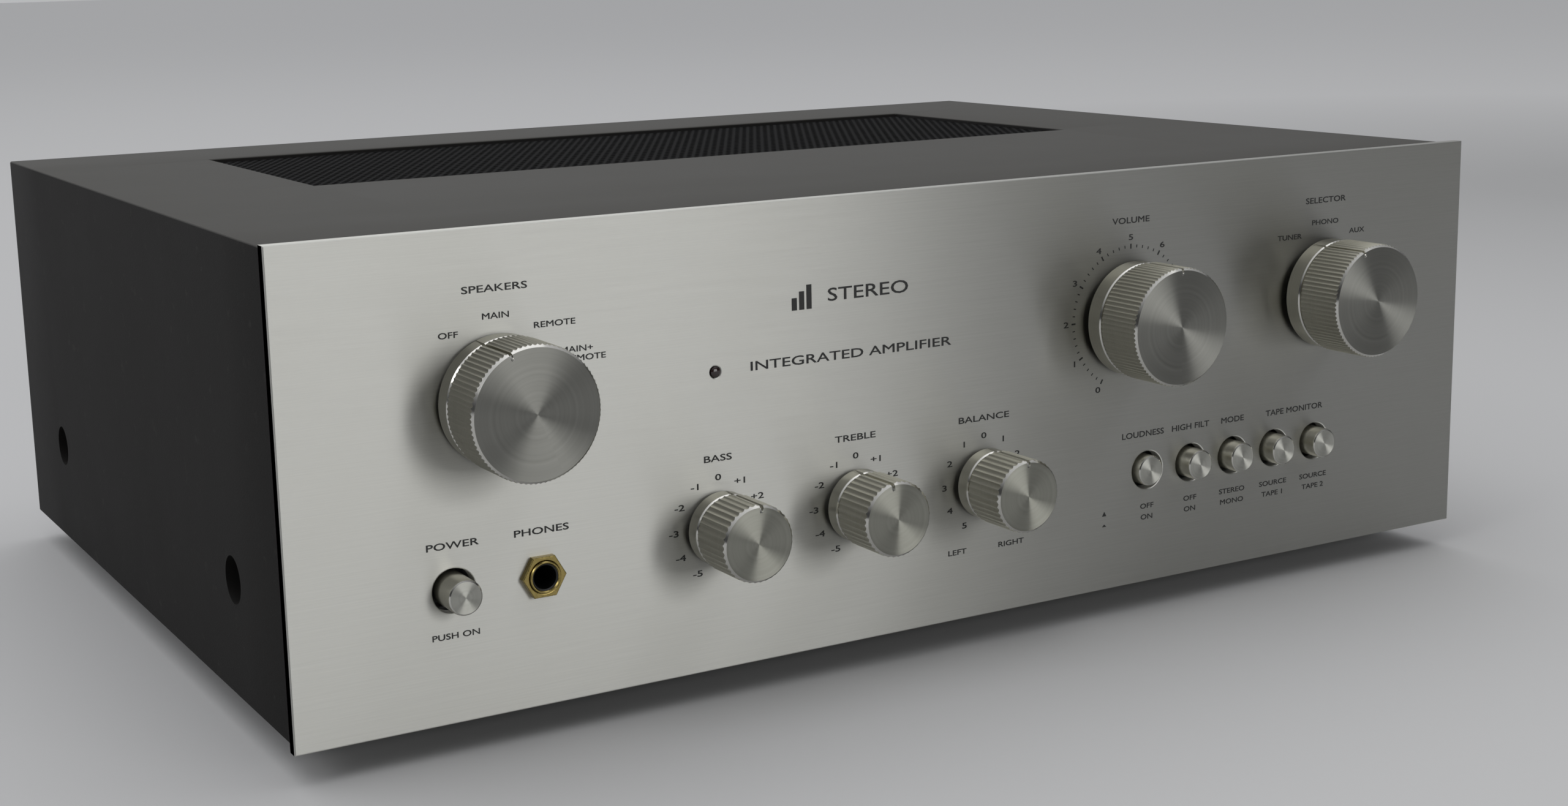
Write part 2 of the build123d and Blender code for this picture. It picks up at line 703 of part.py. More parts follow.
with BuildPart() as headphone_jack:
    with BuildSketch(upright(PANEL_BACK)):
        with Locations((JACK_X, BUTTON_Z)):
            Rectangle(JACK_BODY, JACK_BODY)
    extrude(amount=PANEL_BACK - JACK_BODY_BACK)
    with BuildSketch(upright(PANEL_BACK)):
        with Locations((JACK_X, BUTTON_Z)):
            Circle(JACK_THREAD_RADIUS)
    extrude(amount=PANEL_THICKNESS + JACK_OUT)
    chamfer(headphone_jack.faces().sort_by(Axis.Y)[0].edges(), length=0.4)
    with BuildSketch(upright(PANEL_Y - JACK_OUT)):
        with Locations((JACK_X, BUTTON_Z)):
            Circle(JACK_BORE_RADIUS)
    extrude(amount=-(JACK_BORE_END - PANEL_Y + JACK_OUT), mode=Mode.SUBTRACT)
save(headphone_jack.part, "headphone_jack")

with BuildPart() as headphone_nut:
    with BuildSketch(upright(PANEL_Y)):
        with Locations((JACK_X, BUTTON_Z)):
            RegularPolygon(NUT_ACROSS_FLATS / 2, 6, major_radius=False)
    extrude(amount=JACK_NUT_OUT)
    chamfer(headphone_nut.faces().sort_by(Axis.Y)[0].edges(), length=0.35)
    with BuildSketch(upright(PANEL_Y)):
        with Locations((JACK_X, BUTTON_Z)):
            Circle(JACK_THREAD_RADIUS + SHAFT_FIT)
    extrude(amount=JACK_NUT_OUT, mode=Mode.SUBTRACT)
save(headphone_nut.part, "headphone_nut")

lamp = turned(
    LAMP_X,
    LAMP_Z,
    [
        (0, PANEL_Y - 0.6),
        (0.8, PANEL_Y - 0.45),
        (LAMP_RADIUS, PANEL_Y + 0.2),
        (LAMP_RADIUS, PANEL_BACK + 0.2),
        (2.4, PANEL_BACK + 0.2),
        (2.4, SUB_FRONT_BACK + 1),
        (0, SUB_FRONT_BACK + 1),
    ],
)
save(lamp, "power_lamp")

# ---------------------------------------------------------------- rear panel and its connectors

PHONO_PLACES = [
    (PHONO_X + (column - (PHONO_COLUMNS - 1) / 2) * PHONO_STEP_X, PHONO_Z + row * PHONO_STEP_Z / 2)
    for column in range(PHONO_COLUMNS)
    for row in (-1, 1)
]
BLOCK_WIDTH, BLOCK_OUT, BLOCK_HEIGHT = TERMINAL_BLOCK
TERMINAL_PLACES = [(x + (i - 1.5) * TERMINAL_STEP, TERMINAL_Z) for x in TERMINAL_X for i in range(4)]
REAR_SCREW_PLACES = [(x, z) for x in (-184, 0, 184) for z in (20, 118)]
OUTLET_WIDTH, OUTLET_HEIGHT = OUTLET_SIZE

with BuildPart() as rear_panel:
    with BuildSketch(upright(REAR_INNER)):
        with Locations((0, (CABINET_BOTTOM + SUB_FRONT_TOP) / 2)):
            Rectangle(2 * TRAY_SIDE, SUB_FRONT_TOP - CABINET_BOTTOM)
        with Locations(*PHONO_PLACES):
            Circle(PHONO_JACK_RADIUS + 1.2, mode=Mode.SUBTRACT)
        with Locations(*[(x, TERMINAL_Z) for x in TERMINAL_X]):
            Rectangle(BLOCK_WIDTH - 6, 6, mode=Mode.SUBTRACT)
        with Locations(*[(x, OUTLET_Z) for x in OUTLET_X]):
            Rectangle(OUTLET_WIDTH - 4, OUTLET_HEIGHT - 4, mode=Mode.SUBTRACT)
        with Locations((FUSE_X, FUSE_Z)):
            Circle(6.2, mode=Mode.SUBTRACT)
        with Locations((CORD_X, CORD_Z)):
            Circle(7.1, mode=Mode.SUBTRACT)
        with Locations((GROUND_X, GROUND_Z)):
            Circle(2.6, mode=Mode.SUBTRACT)
        with Locations(*REAR_SCREW_PLACES):
            Circle(1.6, mode=Mode.SUBTRACT)
        with Locations((HEATSINK_X + 25, 40)):
            with GridLocations(8, 1, 15, 1):
                SlotOverall(26, 3.5, rotation=90, mode=Mode.SUBTRACT)
    extrude(amount=-SHEET)
save(rear_panel.part, "rear_panel")

with BuildPart() as rear_screws:
    with BuildSketch(upright(REAR_FACE)):
        with Locations(*REAR_SCREW_PLACES):
            Circle(1.5)
    extrude(amount=7)
    with BuildSketch(upright(REAR_FACE)):
        with Locations(*REAR_SCREW_PLACES):
            Circle(3.2)
    extrude(amount=-2.2, taper=10)
    with BuildSketch(upright(REAR_FACE + 2.2)):
        with Locations(*REAR_SCREW_PLACES):
            Rectangle(3.6, 0.8)
            Rectangle(0.8, 3.6)
    extrude(amount=1.2, mode=Mode.SUBTRACT)
save(rear_screws.part, "rear_panel_screws")

PHONO_INSIDE_RADIUS = PHONO_JACK_RADIUS - PHONO_JACK_WALL

with BuildPart() as phono_insulator:
    with BuildSketch(upright(REAR_INNER - PHONO_PLATE_THICKNESS)):
        with Locations((PHONO_X, PHONO_Z)):
            Rectangle(PHONO_COLUMNS * PHONO_STEP_X + 4, 2 * PHONO_STEP_Z + 4)
    extrude(amount=-PHONO_PLATE_THICKNESS)
    with BuildSketch(upright(REAR_INNER)):
        with Locations(*PHONO_PLACES):
            Circle(PHONO_INSIDE_RADIUS - 0.02)
    extrude(amount=-(SHEET + PHONO_JACK_LENGTH - 1))
    with BuildSketch(upright(REAR_INNER - PHONO_PLATE_THICKNESS)):
        with Locations(*PHONO_PLACES):
            Circle(PHONO_PIN_HOLE)
    extrude(amount=-(PHONO_PLATE_THICKNESS + SHEET + PHONO_JACK_LENGTH), mode=Mode.SUBTRACT)
save(phono_insulator.part, "phono_jack_insulator")

with BuildPart() as phono_jacks:
    with BuildSketch(upright(REAR_INNER)):
        with Locations(*PHONO_PLACES):
            Circle(PHONO_JACK_RADIUS)
            Circle(PHONO_INSIDE_RADIUS, mode=Mode.SUBTRACT)
    extrude(amount=-(SHEET + PHONO_JACK_LENGTH))
save(phono_jacks.part, "phono_jack_shells")

with BuildPart() as terminal_blocks:
    with BuildSketch(upright(REAR_FACE)):
        with Locations(*[(x, TERMINAL_Z) for x in TERMINAL_X]):
            Rectangle(BLOCK_WIDTH, BLOCK_HEIGHT)
    extrude(amount=-2)
    with BuildSketch(upright(REAR_FACE + 2)):
        for x in TERMINAL_X:
            with Locations(*[(x + (i - 2) * TERMINAL_STEP, TERMINAL_Z) for i in range(5)]):
                Rectangle(1.6, BLOCK_HEIGHT)
            with Locations((x, TERMINAL_Z - BLOCK_HEIGHT / 2 + 0.8)):
                Rectangle(4 * TERMINAL_STEP, 1.6)
    extrude(amount=-(BLOCK_OUT - 2))
    with BuildSketch(upright(REAR_FACE)):
        with Locations(*[(x, TERMINAL_Z) for x in TERMINAL_X]):
            Rectangle(BLOCK_WIDTH - 6.4, 5.6)
    extrude(amount=SHEET + 4)
    with BuildSketch(upright(REAR_FACE + 2)):
        with Locations(*TERMINAL_PLACES):
            Circle(1.6)
    extrude(amount=6, mode=Mode.SUBTRACT)
save(terminal_blocks.part, "speaker_terminal_blocks")

with BuildPart() as terminal_screws:
    with BuildSketch(upright(REAR_FACE + 2)):
        with Locations(*TERMINAL_PLACES):
            Circle(1.5)
    extrude(amount=6)
    with BuildSketch(upright(REAR_FACE + 2)):
        with Locations(*TERMINAL_PLACES):
            Rectangle(9, 10)
    extrude(amount=-1)
    with BuildSketch(upright(REAR_FACE + 3)):
        with Locations(*TERMINAL_PLACES):
            Circle(3.4)
    extrude(amount=-2.4)
    with BuildSketch(upright(REAR_FACE + 5.4)):
        with Locations(*TERMINAL_PLACES):
            Rectangle(8, 0.9)
    extrude(amount=1.1, mode=Mode.SUBTRACT)
save(terminal_screws.part, "speaker_terminal_screws")

with BuildPart() as mains_outlets:
    with BuildSketch(upright(REAR_FACE)):
        with Locations(*[(x, OUTLET_Z) for x in OUTLET_X]):
            RectangleRounded(OUTLET_WIDTH, OUTLET_HEIGHT, 3)
    extrude(amount=-2.4)
    with BuildSketch(upright(REAR_FACE)):
        with Locations(*[(x, OUTLET_Z) for x in OUTLET_X]):
            Rectangle(OUTLET_WIDTH - 4.4, OUTLET_HEIGHT - 4.4)
    extrude(amount=16)
    with BuildSketch(upright(REAR_FACE + 2.4)):
        for x in OUTLET_X:
            with Locations((x - 3.2, OUTLET_Z)):
                Rectangle(2, 8)
            with Locations((x + 3.2, OUTLET_Z)):
                Rectangle(2, 7)
    extrude(amount=15, mode=Mode.SUBTRACT)
save(mains_outlets.part, "mains_outlets")

fuse_holder = turned(
    FUSE_X,
    FUSE_Z,
    [
        (0, REAR_INNER - 26),
        (6, REAR_INNER - 26),
        (6, REAR_FACE),
        (7.5, REAR_FACE),
        (7.5, REAR_FACE + 1.5),
        (5.6, REAR_FACE + 1.5),
        (5.6, REAR_FACE + 8),
        (5, REAR_FACE + 8.6),
        (0, REAR_FACE + 8.6),
    ],
)
with BuildPart() as fuse_cap:
    add(fuse_holder)
    with BuildSketch(upright(REAR_FACE + 8.6)):
        with Locations((FUSE_X, FUSE_Z)):
            Rectangle(8, 1.2)
    extrude(amount=1.5, mode=Mode.SUBTRACT)
save(fuse_cap.part, "fuse_holder")

cord_bushing = turned(
    CORD_X,
    CORD_Z,
    [
        (3.6, REAR_INNER - 5),
        (6.4, REAR_INNER - 5),
        (7.8, REAR_INNER - 3),
        (7, REAR_INNER),
        (7, REAR_FACE),
        (8.4, REAR_FACE),
        (8.4, REAR_FACE + 2),
        (6.4, REAR_FACE + 9),
        (3.6, REAR_FACE + 9),
    ],
)
save(cord_bushing, "mains_cord_bushing")

ground_post = turned(
    GROUND_X,
    GROUND_Z,
    [
        (0, REAR_INNER - 6),
        (2.5, REAR_INNER - 6),
        (2.5, REAR_FACE),
        (4.5, REAR_FACE),
        (4.5, REAR_FACE + 1.5),
        (2, REAR_FACE + 1.5),
        (2, GROUND_POST_END),
        (0, GROUND_POST_END),
    ],
)
with BuildPart() as ground_nut:
    with BuildSketch(upright(REAR_FACE + 4)):
        with Locations((GROUND_X, GROUND_Z)):
            Circle(4.8)
            with PolarLocations(4.8, 24):
                Circle(0.35, mode=Mode.SUBTRACT)
            Circle(2 + SHAFT_FIT, mode=Mode.SUBTRACT)
    extrude(amount=-5)
save(Compound(children=[ground_post, ground_nut.part]), "ground_terminal")

# ---------------------------------------------------------------- power supply and amplifier circuits

CORE_BOTTOM = TRAY_TOP + STRAP
WINDOW_WIDTH = (CORE_WIDTH - 4 * CORE_LEG) / 2
WINDOW_HEIGHT = CORE_HEIGHT - 2 * CORE_LEG
CORE_Z = CORE_BOTTOM + CORE_HEIGHT / 2
CORE_FRONT = TRANSFORMER_Y - CORE_STACK / 2
WINDOW_OFFSET = CORE_LEG + WINDOW_WIDTH / 2

with BuildPart() as transformer_core:
    with BuildSketch(upright(CORE_FRONT)):
        with Locations((TRANSFORMER_X, CORE_Z)):
            Rectangle(CORE_WIDTH, CORE_HEIGHT)
        with Locations((TRANSFORMER_X - WINDOW_OFFSET, CORE_Z), (TRANSFORMER_X + WINDOW_OFFSET, CORE_Z)):
            Rectangle(WINDOW_WIDTH, WINDOW_HEIGHT, mode=Mode.SUBTRACT)
    extrude(amount=-CORE_STACK)
save(transformer_core.part, "transformer_core")

with BuildPart() as transformer_coil:
    with BuildSketch(Plane.XY.offset(CORE_Z - WINDOW_HEIGHT / 2 + 0.5)):
        with Locations((TRANSFORMER_X, TRANSFORMER_Y)):
            RectangleRounded(
                2 * CORE_LEG + 2 * WINDOW_WIDTH - 0.6, CORE_STACK + 2 * COIL_OVERHANG, WINDOW_WIDTH - 2
            )
            Rectangle(2 * CORE_LEG + 0.6, CORE_STACK + 0.6, mode=Mode.SUBTRACT)
    extrude(amount=WINDOW_HEIGHT - 1)
save(transformer_coil.part, "transformer_coil")

STRAP_HALF = CORE_WIDTH / 2 + 0.2
STRAP_FOOT = 13
CORE_CROWN = CORE_BOTTOM + CORE_HEIGHT + 0.2
STRAP_SCREWS = [(TRANSFORMER_X + side * (STRAP_HALF + STRAP + 7), TRANSFORMER_Y) for side in (-1, 1)]

with BuildPart() as transformer_strap:
    with BuildSketch(upright(TRANSFORMER_Y - 13)):
        with BuildLine():
            Polyline(
                (TRANSFORMER_X - STRAP_HALF - STRAP - STRAP_FOOT, TRAY_TOP),
                (TRANSFORMER_X - STRAP_HALF, TRAY_TOP),
                (TRANSFORMER_X - STRAP_HALF, CORE_CROWN),
                (TRANSFORMER_X + STRAP_HALF, CORE_CROWN),
                (TRANSFORMER_X + STRAP_HALF, TRAY_TOP),
                (TRANSFORMER_X + STRAP_HALF + STRAP + STRAP_FOOT, TRAY_TOP),
                (TRANSFORMER_X + STRAP_HALF + STRAP + STRAP_FOOT, TRAY_TOP + STRAP),
                (TRANSFORMER_X + STRAP_HALF + STRAP, TRAY_TOP + STRAP),
                (TRANSFORMER_X + STRAP_HALF + STRAP, CORE_CROWN + STRAP),
                (TRANSFORMER_X - STRAP_HALF - STRAP, CORE_CROWN + STRAP),
                (TRANSFORMER_X - STRAP_HALF - STRAP, TRAY_TOP + STRAP),
                (TRANSFORMER_X - STRAP_HALF - STRAP - STRAP_FOOT, TRAY_TOP + STRAP),
                close=True,
            )
        make_face()
    extrude(amount=-26)
    with BuildSketch(Plane.XY.offset(TRAY_TOP)):
        with Locations(*STRAP_SCREWS):
            Circle(2.1)
    extrude(amount=STRAP, mode=Mode.SUBTRACT)
save(transformer_strap.part, "transformer_strap")

FIN_STEP = (HEATSINK_WIDTH - 2) / (FIN_COUNT - 1)

with BuildPart() as heatsink:
    with BuildSketch(Plane.XY.offset(TRAY_TOP)):
        with Locations((HEATSINK_X, HEATSINK_Y)):
            Rectangle(HEATSINK_WIDTH, HEATSINK_BASE)
        with Locations((HEATSINK_X, HEATSINK_Y + HEATSINK_BASE / 2 + FIN_LENGTH / 2)):
            with GridLocations(FIN_STEP, 1, FIN_COUNT, 1):
                Rectangle(2, FIN_LENGTH)
    extrude(amount=HEATSINK_HEIGHT)
save(heatsink.part, "heatsink")

HEATSINK_FRONT = HEATSINK_Y - HEATSINK_BASE / 2
TRANSISTOR_Z = TRAY_TOP + HEATSINK_HEIGHT - 20
TRANSISTOR_PLACES = [(HEATSINK_X + offset, TRANSISTOR_Z) for offset in (-57, -19, 19, 57)]

with BuildPart() as output_transistors:
    with BuildSketch(upright(HEATSINK_FRONT)):
        with Locations(*TRANSISTOR_PLACES):
            Circle(12.6)
            SlotCenterToCenter(22, 10)
    extrude(amount=1.6)
    with BuildSketch(upright(HEATSINK_FRONT - 1.6)):
        with Locations(*TRANSISTOR_PLACES):
            Circle(10)
    extrude(amount=6.4)
save(output_transistors.part, "output_transistors")

STANDOFF_PLACES = [
    (BOARD_X + dx * (BOARD_WIDTH / 2 - 6), BOARD_Y + dy * (BOARD_DEPTH / 2 - 6))
    for dx in (-1, 1)
    for dy in (-1, 1)
]
BOARD_TOP = BOARD_Z + BOARD_THICKNESS

with BuildPart() as main_board:
    with BuildSketch(Plane.XY.offset(BOARD_Z)):
        with Locations((BOARD_X, BOARD_Y)):
            Rectangle(BOARD_WIDTH, BOARD_DEPTH)
        with Locations(*STANDOFF_PLACES):
            Circle(1.6, mode=Mode.SUBTRACT)
    extrude(amount=BOARD_THICKNESS)
save(main_board.part, "main_circuit_board")

with BuildPart() as board_standoffs:
    with BuildSketch(Plane.XY.offset(TRAY_TOP)):
        with Locations(*STANDOFF_PLACES):
            Circle(3)
    extrude(amount=BOARD_Z - TRAY_TOP)
    with BuildSketch(Plane.XY.offset(BOARD_Z)):
        with Locations(*STANDOFF_PLACES):
            Circle(1.5)
    extrude(amount=BOARD_THICKNESS)
    with BuildSketch(Plane.XY.offset(BOARD_TOP)):
        with Locations(*STANDOFF_PLACES):
            RegularPolygon(2.75, 6, major_radius=False)
    extrude(amount=2)
save(board_standoffs.part, "board_standoffs")

with BuildPart() as filter_capacitors:
    with BuildSketch(Plane.XY.offset(BOARD_TOP)):
        with Locations((BOARD_X - 72, BOARD_Y + 34), (BOARD_X - 72, BOARD_Y + 2)):
            Circle(13)
    extrude(amount=52)
    chamfer(filter_capacitors.faces().group_by(Axis.Z)[-1].edges(), length=1.2)
save(filter_capacitors.part, "filter_capacitors")

with BuildPart() as board_components:
    with BuildSketch(Plane.XY.offset(BOARD_TOP)):
        with Locations((BOARD_X + 20, BOARD_Y + 30)):
            with GridLocations(17, 17, 7, 2):
                Circle(4)
    extrude(amount=13)
    with BuildSketch(Plane.XY.offset(BOARD_TOP)):
        with Locations((BOARD_X + 20, BOARD_Y - 12)):
            with GridLocations(8, 16, 14, 2):
                Rectangle(2.4, 9)
    extrude(amount=3)
    with BuildSketch(Plane.XY.offset(BOARD_TOP)):
        with Locations((BOARD_X - 66, BOARD_Y - 38)):
            Rectangle(22, 26)
    extrude(amount=24)
save(board_components.part, "board_components")
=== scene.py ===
import json
import math

import bmesh
import bpy
from bpy.props import FloatProperty, FloatVectorProperty, IntProperty, PointerProperty
from mathutils import Matrix, Vector


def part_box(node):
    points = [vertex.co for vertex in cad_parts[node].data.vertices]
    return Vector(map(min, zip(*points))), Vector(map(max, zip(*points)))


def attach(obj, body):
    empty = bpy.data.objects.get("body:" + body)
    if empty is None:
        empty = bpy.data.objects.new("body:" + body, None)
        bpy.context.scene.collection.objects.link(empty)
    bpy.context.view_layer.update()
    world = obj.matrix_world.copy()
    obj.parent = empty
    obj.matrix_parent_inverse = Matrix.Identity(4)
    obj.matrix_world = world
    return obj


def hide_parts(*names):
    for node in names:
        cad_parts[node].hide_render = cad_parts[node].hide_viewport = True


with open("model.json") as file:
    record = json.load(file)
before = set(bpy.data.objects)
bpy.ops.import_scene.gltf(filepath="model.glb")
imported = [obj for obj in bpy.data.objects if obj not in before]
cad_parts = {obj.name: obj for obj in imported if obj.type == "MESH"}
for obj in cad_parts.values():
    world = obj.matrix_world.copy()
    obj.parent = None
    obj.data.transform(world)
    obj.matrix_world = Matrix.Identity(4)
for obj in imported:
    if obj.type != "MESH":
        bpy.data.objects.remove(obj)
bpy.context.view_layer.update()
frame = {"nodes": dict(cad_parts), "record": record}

bl_info = {
    "name": "Integrated amplifier",
    "version": (1, 0, 0),
    "blender": (4, 5, 0),
    "location": "3D Viewport > Sidebar > Amplifier",
    "description": "Makes the pieces, finishes and stage of an integrated amplifier round its CAD frame",
    "category": "Object",
}

MM = 0.001
TURN = 2 * math.pi
RIGHT = Vector((1, 0, 0))
FRONT = Vector((0, -1, 0))
REAR = Vector((0, 1, 0))
UP = Vector((0, 0, 1))
UPRIGHT = Matrix.Rotation(math.radians(90), 4, "X")  # turns a flat shape to face the front
WELD = 0.001 * MM  # points closer than this are one
CHASSIS = "chassis"
CAPITAL_HEIGHT = 0.685  # of the plain typeface, in parts of its size

PANEL_LOW, PANEL_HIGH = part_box("front_panel")
PANEL_FACE = PANEL_LOW.y
REAR_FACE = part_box("rear_panel")[1].y

# Where each knob's pointer stands at rest, in degrees clockwise from straight up
LARGE_KNOBS = {"speakers": -22.5, "volume": 0.0, "selector": -22.5}
SMALL_KNOBS = {"bass": 6.0, "treble": -10.0, "balance": 0.0}
BUTTONS = ("power", "loudness", "high_filter", "mode", "tape_monitor", "tape_select")

# In millimetres: the radii of the panel's holes, a knob's blind bore, and where its skirt ends
KNOB_HOLE = 4.0
BUTTON_HOLE = 6.0
JACK_HOLE = 4.5
LAMP_HOLE = 1.6
BORE = 3.05
BORE_END = 17
LARGE_LIP = 7.2
SMALL_LIP = 6.2

# The camera's place in metres, its turn in degrees, and its shift in parts of the picture's width
CAMERA_PLACE = (-0.36273, -0.65274, 0.20705)
CAMERA_TURN = (79.0897, 1.2332, -30.1192)
CAMERA_SHIFT = (0.01768, -0.02177)

# Each light's place, its target, its width and height, all in metres, and its radiance
LIGHTS = {
    "overhead": ((0.0, 0.5, 2.8), (0, 0, 0.07), (3.6, 3.6), 0.55),
    "front_softbox": ((0.52, -1.9, 0.46), (0.52, 0, 0.2), (1.27, 0.86), 3.1),
    "left_window": ((-1.9, -0.7, 1.3), (0, 0, 0.07), (0.45, 0.7), 4.5),
}
LIT_SIDE = (-0.15, 0.45, 0.88)  # the way to the brightest part of the room
PAINTED_SHADE_CENTRE = (1.15, 0.55, 0)  # where painted shade darkens the paper most, in metres


# ---- colours, nodes and meshes


def linear(hex_code):
    """Linear red, green, blue and alpha of an sRGB hex colour."""
    channels = [int(hex_code[i:i + 2], 16) / 255 for i in (0, 2, 4)]
    return [c / 12.92 if c <= 0.04045 else ((c + 0.055) / 1.055) ** 2.4 for c in channels] + [1.0]


def add_node(tree, kind, inputs=None, **settings):
    """Adds one node with its settings, and gives each of its inputs a value or a link."""
    node = tree.nodes.new(kind)
    for name, value in settings.items():
        setattr(node, name, value)
    for key, value in (inputs or {}).items():
        if isinstance(value, bpy.types.NodeSocket):
            tree.links.new(value, node.inputs[key])
        else:
            node.inputs[key].default_value = value
    return node


def new_material(name, sockets):
    """A new material with these values on its shader's sockets, with its tree and its shader."""
    material = bpy.data.materials.new(name)
    material.use_nodes = True
    tree = material.node_tree
    tree.nodes.clear()
    shader = add_node(tree, "ShaderNodeBsdfPrincipled", sockets)
    add_node(tree, "ShaderNodeOutputMaterial", {"Surface": shader.outputs["BSDF"]})
    return material, tree, shader


def grain(tree, size, stretch=(1, 1, 1), place=None, detail=4.0):
    """A pattern of spots of this size in metres, drawn out along an axis by a stretch under 1."""
    place = place or add_node(tree, "ShaderNodeTexCoord").outputs["Object"]
    drawn = add_node(tree, "ShaderNodeMapping", {"Vector": place, "Scale": stretch})
    inputs = {"Vector": drawn.outputs["Vector"], "Scale": 1 / size, "Detail": detail, "Roughness": 0.6}
    return add_node(tree, "ShaderNodeTexNoise", inputs).outputs["Fac"]


def spread(tree, pattern, low, high, start=0.3, end=0.7):
    """The pattern's range from start to end, drawn out to run from low to high."""
    inputs = {"Value": pattern, "From Min": start, "From Max": end, "To Min": low, "To Max": high}
    return add_node(tree, "ShaderNodeMapRange", inputs).outputs["Result"]


def blend_colours(tree, factor, first, second):
    """A colour between two others, each a hex code or a socket."""
    inputs = {"Factor": factor}
    for key, colour in ((6, first), (7, second)):
        inputs[key] = linear(colour) if isinstance(colour, str) else colour
    return add_node(tree, "ShaderNodeMix", inputs, data_type="RGBA").outputs[2]


def surface(tree, shader, pattern, colours, roughness, relief):
    """Lets one pattern vary a shader's colour and roughness, and stand out by a relief in metres."""
    tree.links.new(blend_colours(tree, pattern, *colours), shader.inputs["Base Color"])
    tree.links.new(spread(tree, pattern, *roughness), shader.inputs["Roughness"])
    bump = add_node(tree, "ShaderNodeBump", {"Height": pattern, "Strength": 1.0, "Distance": relief})
    tree.links.new(bump.outputs["Normal"], shader.inputs["Normal"])
    return bump


def speckled(name, sockets, size, colours, roughness, relief, stretch=(1, 1, 1)):
    """A material whose colour, roughness and relief all follow one pattern of spots."""
    material, tree, shader = new_material(name, sockets)
    surface(tree, shader, grain(tree, size, stretch), colours, roughness, relief)
    return material


def finish_piece(name, bm, materials, replaces=(), body=CHASSIS, sharp=20):
    """Makes a finished object of a bmesh, with smooth rounds and crisp corners, that rides on a body."""
    bmesh.ops.remove_doubles(bm, verts=bm.verts, dist=WELD)
    bmesh.ops.recalc_face_normals(bm, faces=bm.faces)
    mesh = bpy.data.meshes.new(name)
    bm.to_mesh(mesh)
    bm.free()
    mesh.shade_smooth()
    mesh.set_sharp_from_angle(angle=math.radians(sharp))
    for material in materials:
        mesh.materials.append(material)
    piece = bpy.data.objects.new(name, mesh)
    bpy.context.scene.collection.objects.link(piece)
    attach(piece, body)
    if replaces:
        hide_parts(*replaces)
    return piece


def lathe(bm, outline, centre, axis, across, steps):
    """Turns an outline of (radius, height) points, in millimetres, about an axis through centre."""
    verts = [bm.verts.new(centre + across * (r * MM) + axis * (h * MM)) for r, h in outline]
    edges = [bm.edges.new(pair) for pair in zip(verts, verts[1:])]
    bmesh.ops.spin(
        bm, geom=verts + edges, cent=centre, axis=axis, angle=TURN, steps=steps, use_merge=True
    )
    bmesh.ops.remove_doubles(bm, verts=bm.verts, dist=WELD)


def around(point, centre, axis, across):
    """A point's radius, its turn from across and its height, about an axis through centre."""
    reach = point - centre
    side = axis.cross(across)
    turn = math.atan2(reach.dot(side), reach.dot(across))
    return math.hypot(reach.dot(side), reach.dot(across)), turn, reach.dot(axis)


def lathe_uv(bm, centre, axis, across):
    """Maps each corner by its turn round the axis (u) and its place along the lathe's cut (v)."""
    layer = bm.loops.layers.uv.new("Lathe")
    for face in bm.faces:
        middle = around(face.calc_center_median(), centre, axis, across)[1]
        for loop in face.loops:
            radius, turn, height = around(loop.vert.co, centre, axis, across)
            if radius < 0.01 * MM:
                turn = middle
            turn = middle + (turn - middle + math.pi) % TURN - math.pi
            loop[layer].uv = (turn / TURN, radius - height)


def flat_uv(bm, name):
    """Maps each corner by its x (u) and its z (v), so that gloss follows a grain along x."""
    layer = bm.loops.layers.uv.new(name)
    for face in bm.faces:
        for loop in face.loops:
            loop[layer].uv = (loop.vert.co.x, loop.vert.co.z)


def on_face(low, high):
    """The point on the panel's face in front of the middle of a box."""
    return Vector(((low.x + high.x) / 2, PANEL_FACE, (low.z + high.z) / 2))


def ring(bm, centre, radius, segments):
    """Adds a ring of edges, upright and facing the front."""
    place = Matrix.Translation(centre) @ UPRIGHT
    bmesh.ops.create_circle(bm, segments=segments, radius=radius, matrix=place)


def shift_points(bm, made, step):
    """Moves the points among newly made geometry."""
    points = [item for item in made if isinstance(item, bmesh.types.BMVert)]
    bmesh.ops.translate(bm, verts=points, vec=step)


def solid_plate(bm, depth, bevel):
    """Fills the flat rings of a bmesh, gives the sheet a depth, and bevels the front of its rims."""
    bmesh.ops.triangle_fill(bm, edges=bm.edges, use_beauty=True, use_dissolve=False, normal=FRONT)
    rims = [edge for edge in bm.edges if edge.is_boundary]
    back = bmesh.ops.extrude_face_region(bm, geom=bm.faces[:], use_keep_orig=True)["geom"]
    shift_points(bm, back, depth)
    bmesh.ops.recalc_face_normals(bm, faces=bm.faces)
    bmesh.ops.bevel(
        bm, geom=rims, offset=bevel, affect="EDGES", segments=2, profile=0.5, material=-1,
        clamp_overlap=True,
    )


# ---- finishes of the front


def brushed_anodised_aluminium():
    """Aluminium sheet brushed along its length, then clear anodised.

    It gives a soft silver that smears a light upwards and downwards, and fine level lines.
    The real lines are a tenth of a millimetre apart, and are drawn four times as coarse to show.
    """
    looks = bpy.context.scene.amplifier_front
    sockets = {"Metallic": 1.0, "Anisotropic": 1.0, "Anisotropic Rotation": 0.25}
    material, tree, shader = new_material("brushed_anodised_aluminium", sockets)
    lines = grain(tree, 24 * MM, (1, 1, 60), detail=5.0)
    clouds = grain(tree, 55 * MM)
    silver = blend_colours(tree, lines, list(looks.silver) + [1], "c6c6c1")
    cloudy = blend_colours(tree, spread(tree, clouds, 0.0, 0.2), silver, "b3b2ab")
    tree.links.new(cloudy, shader.inputs["Base Color"])
    tree.links.new(spread(tree, lines, 0.37, 0.43), shader.inputs["Roughness"])
    bump = add_node(tree, "ShaderNodeBump", {"Height": lines, "Strength": 1.0, "Distance": 0.006 * MM})
    tangent = add_node(tree, "ShaderNodeTangent", direction_type="UV_MAP", uv_map="Brushing")
    tree.links.new(bump.outputs["Normal"], shader.inputs["Normal"])
    tree.links.new(tangent.outputs["Tangent"], shader.inputs["Tangent"])
    return material


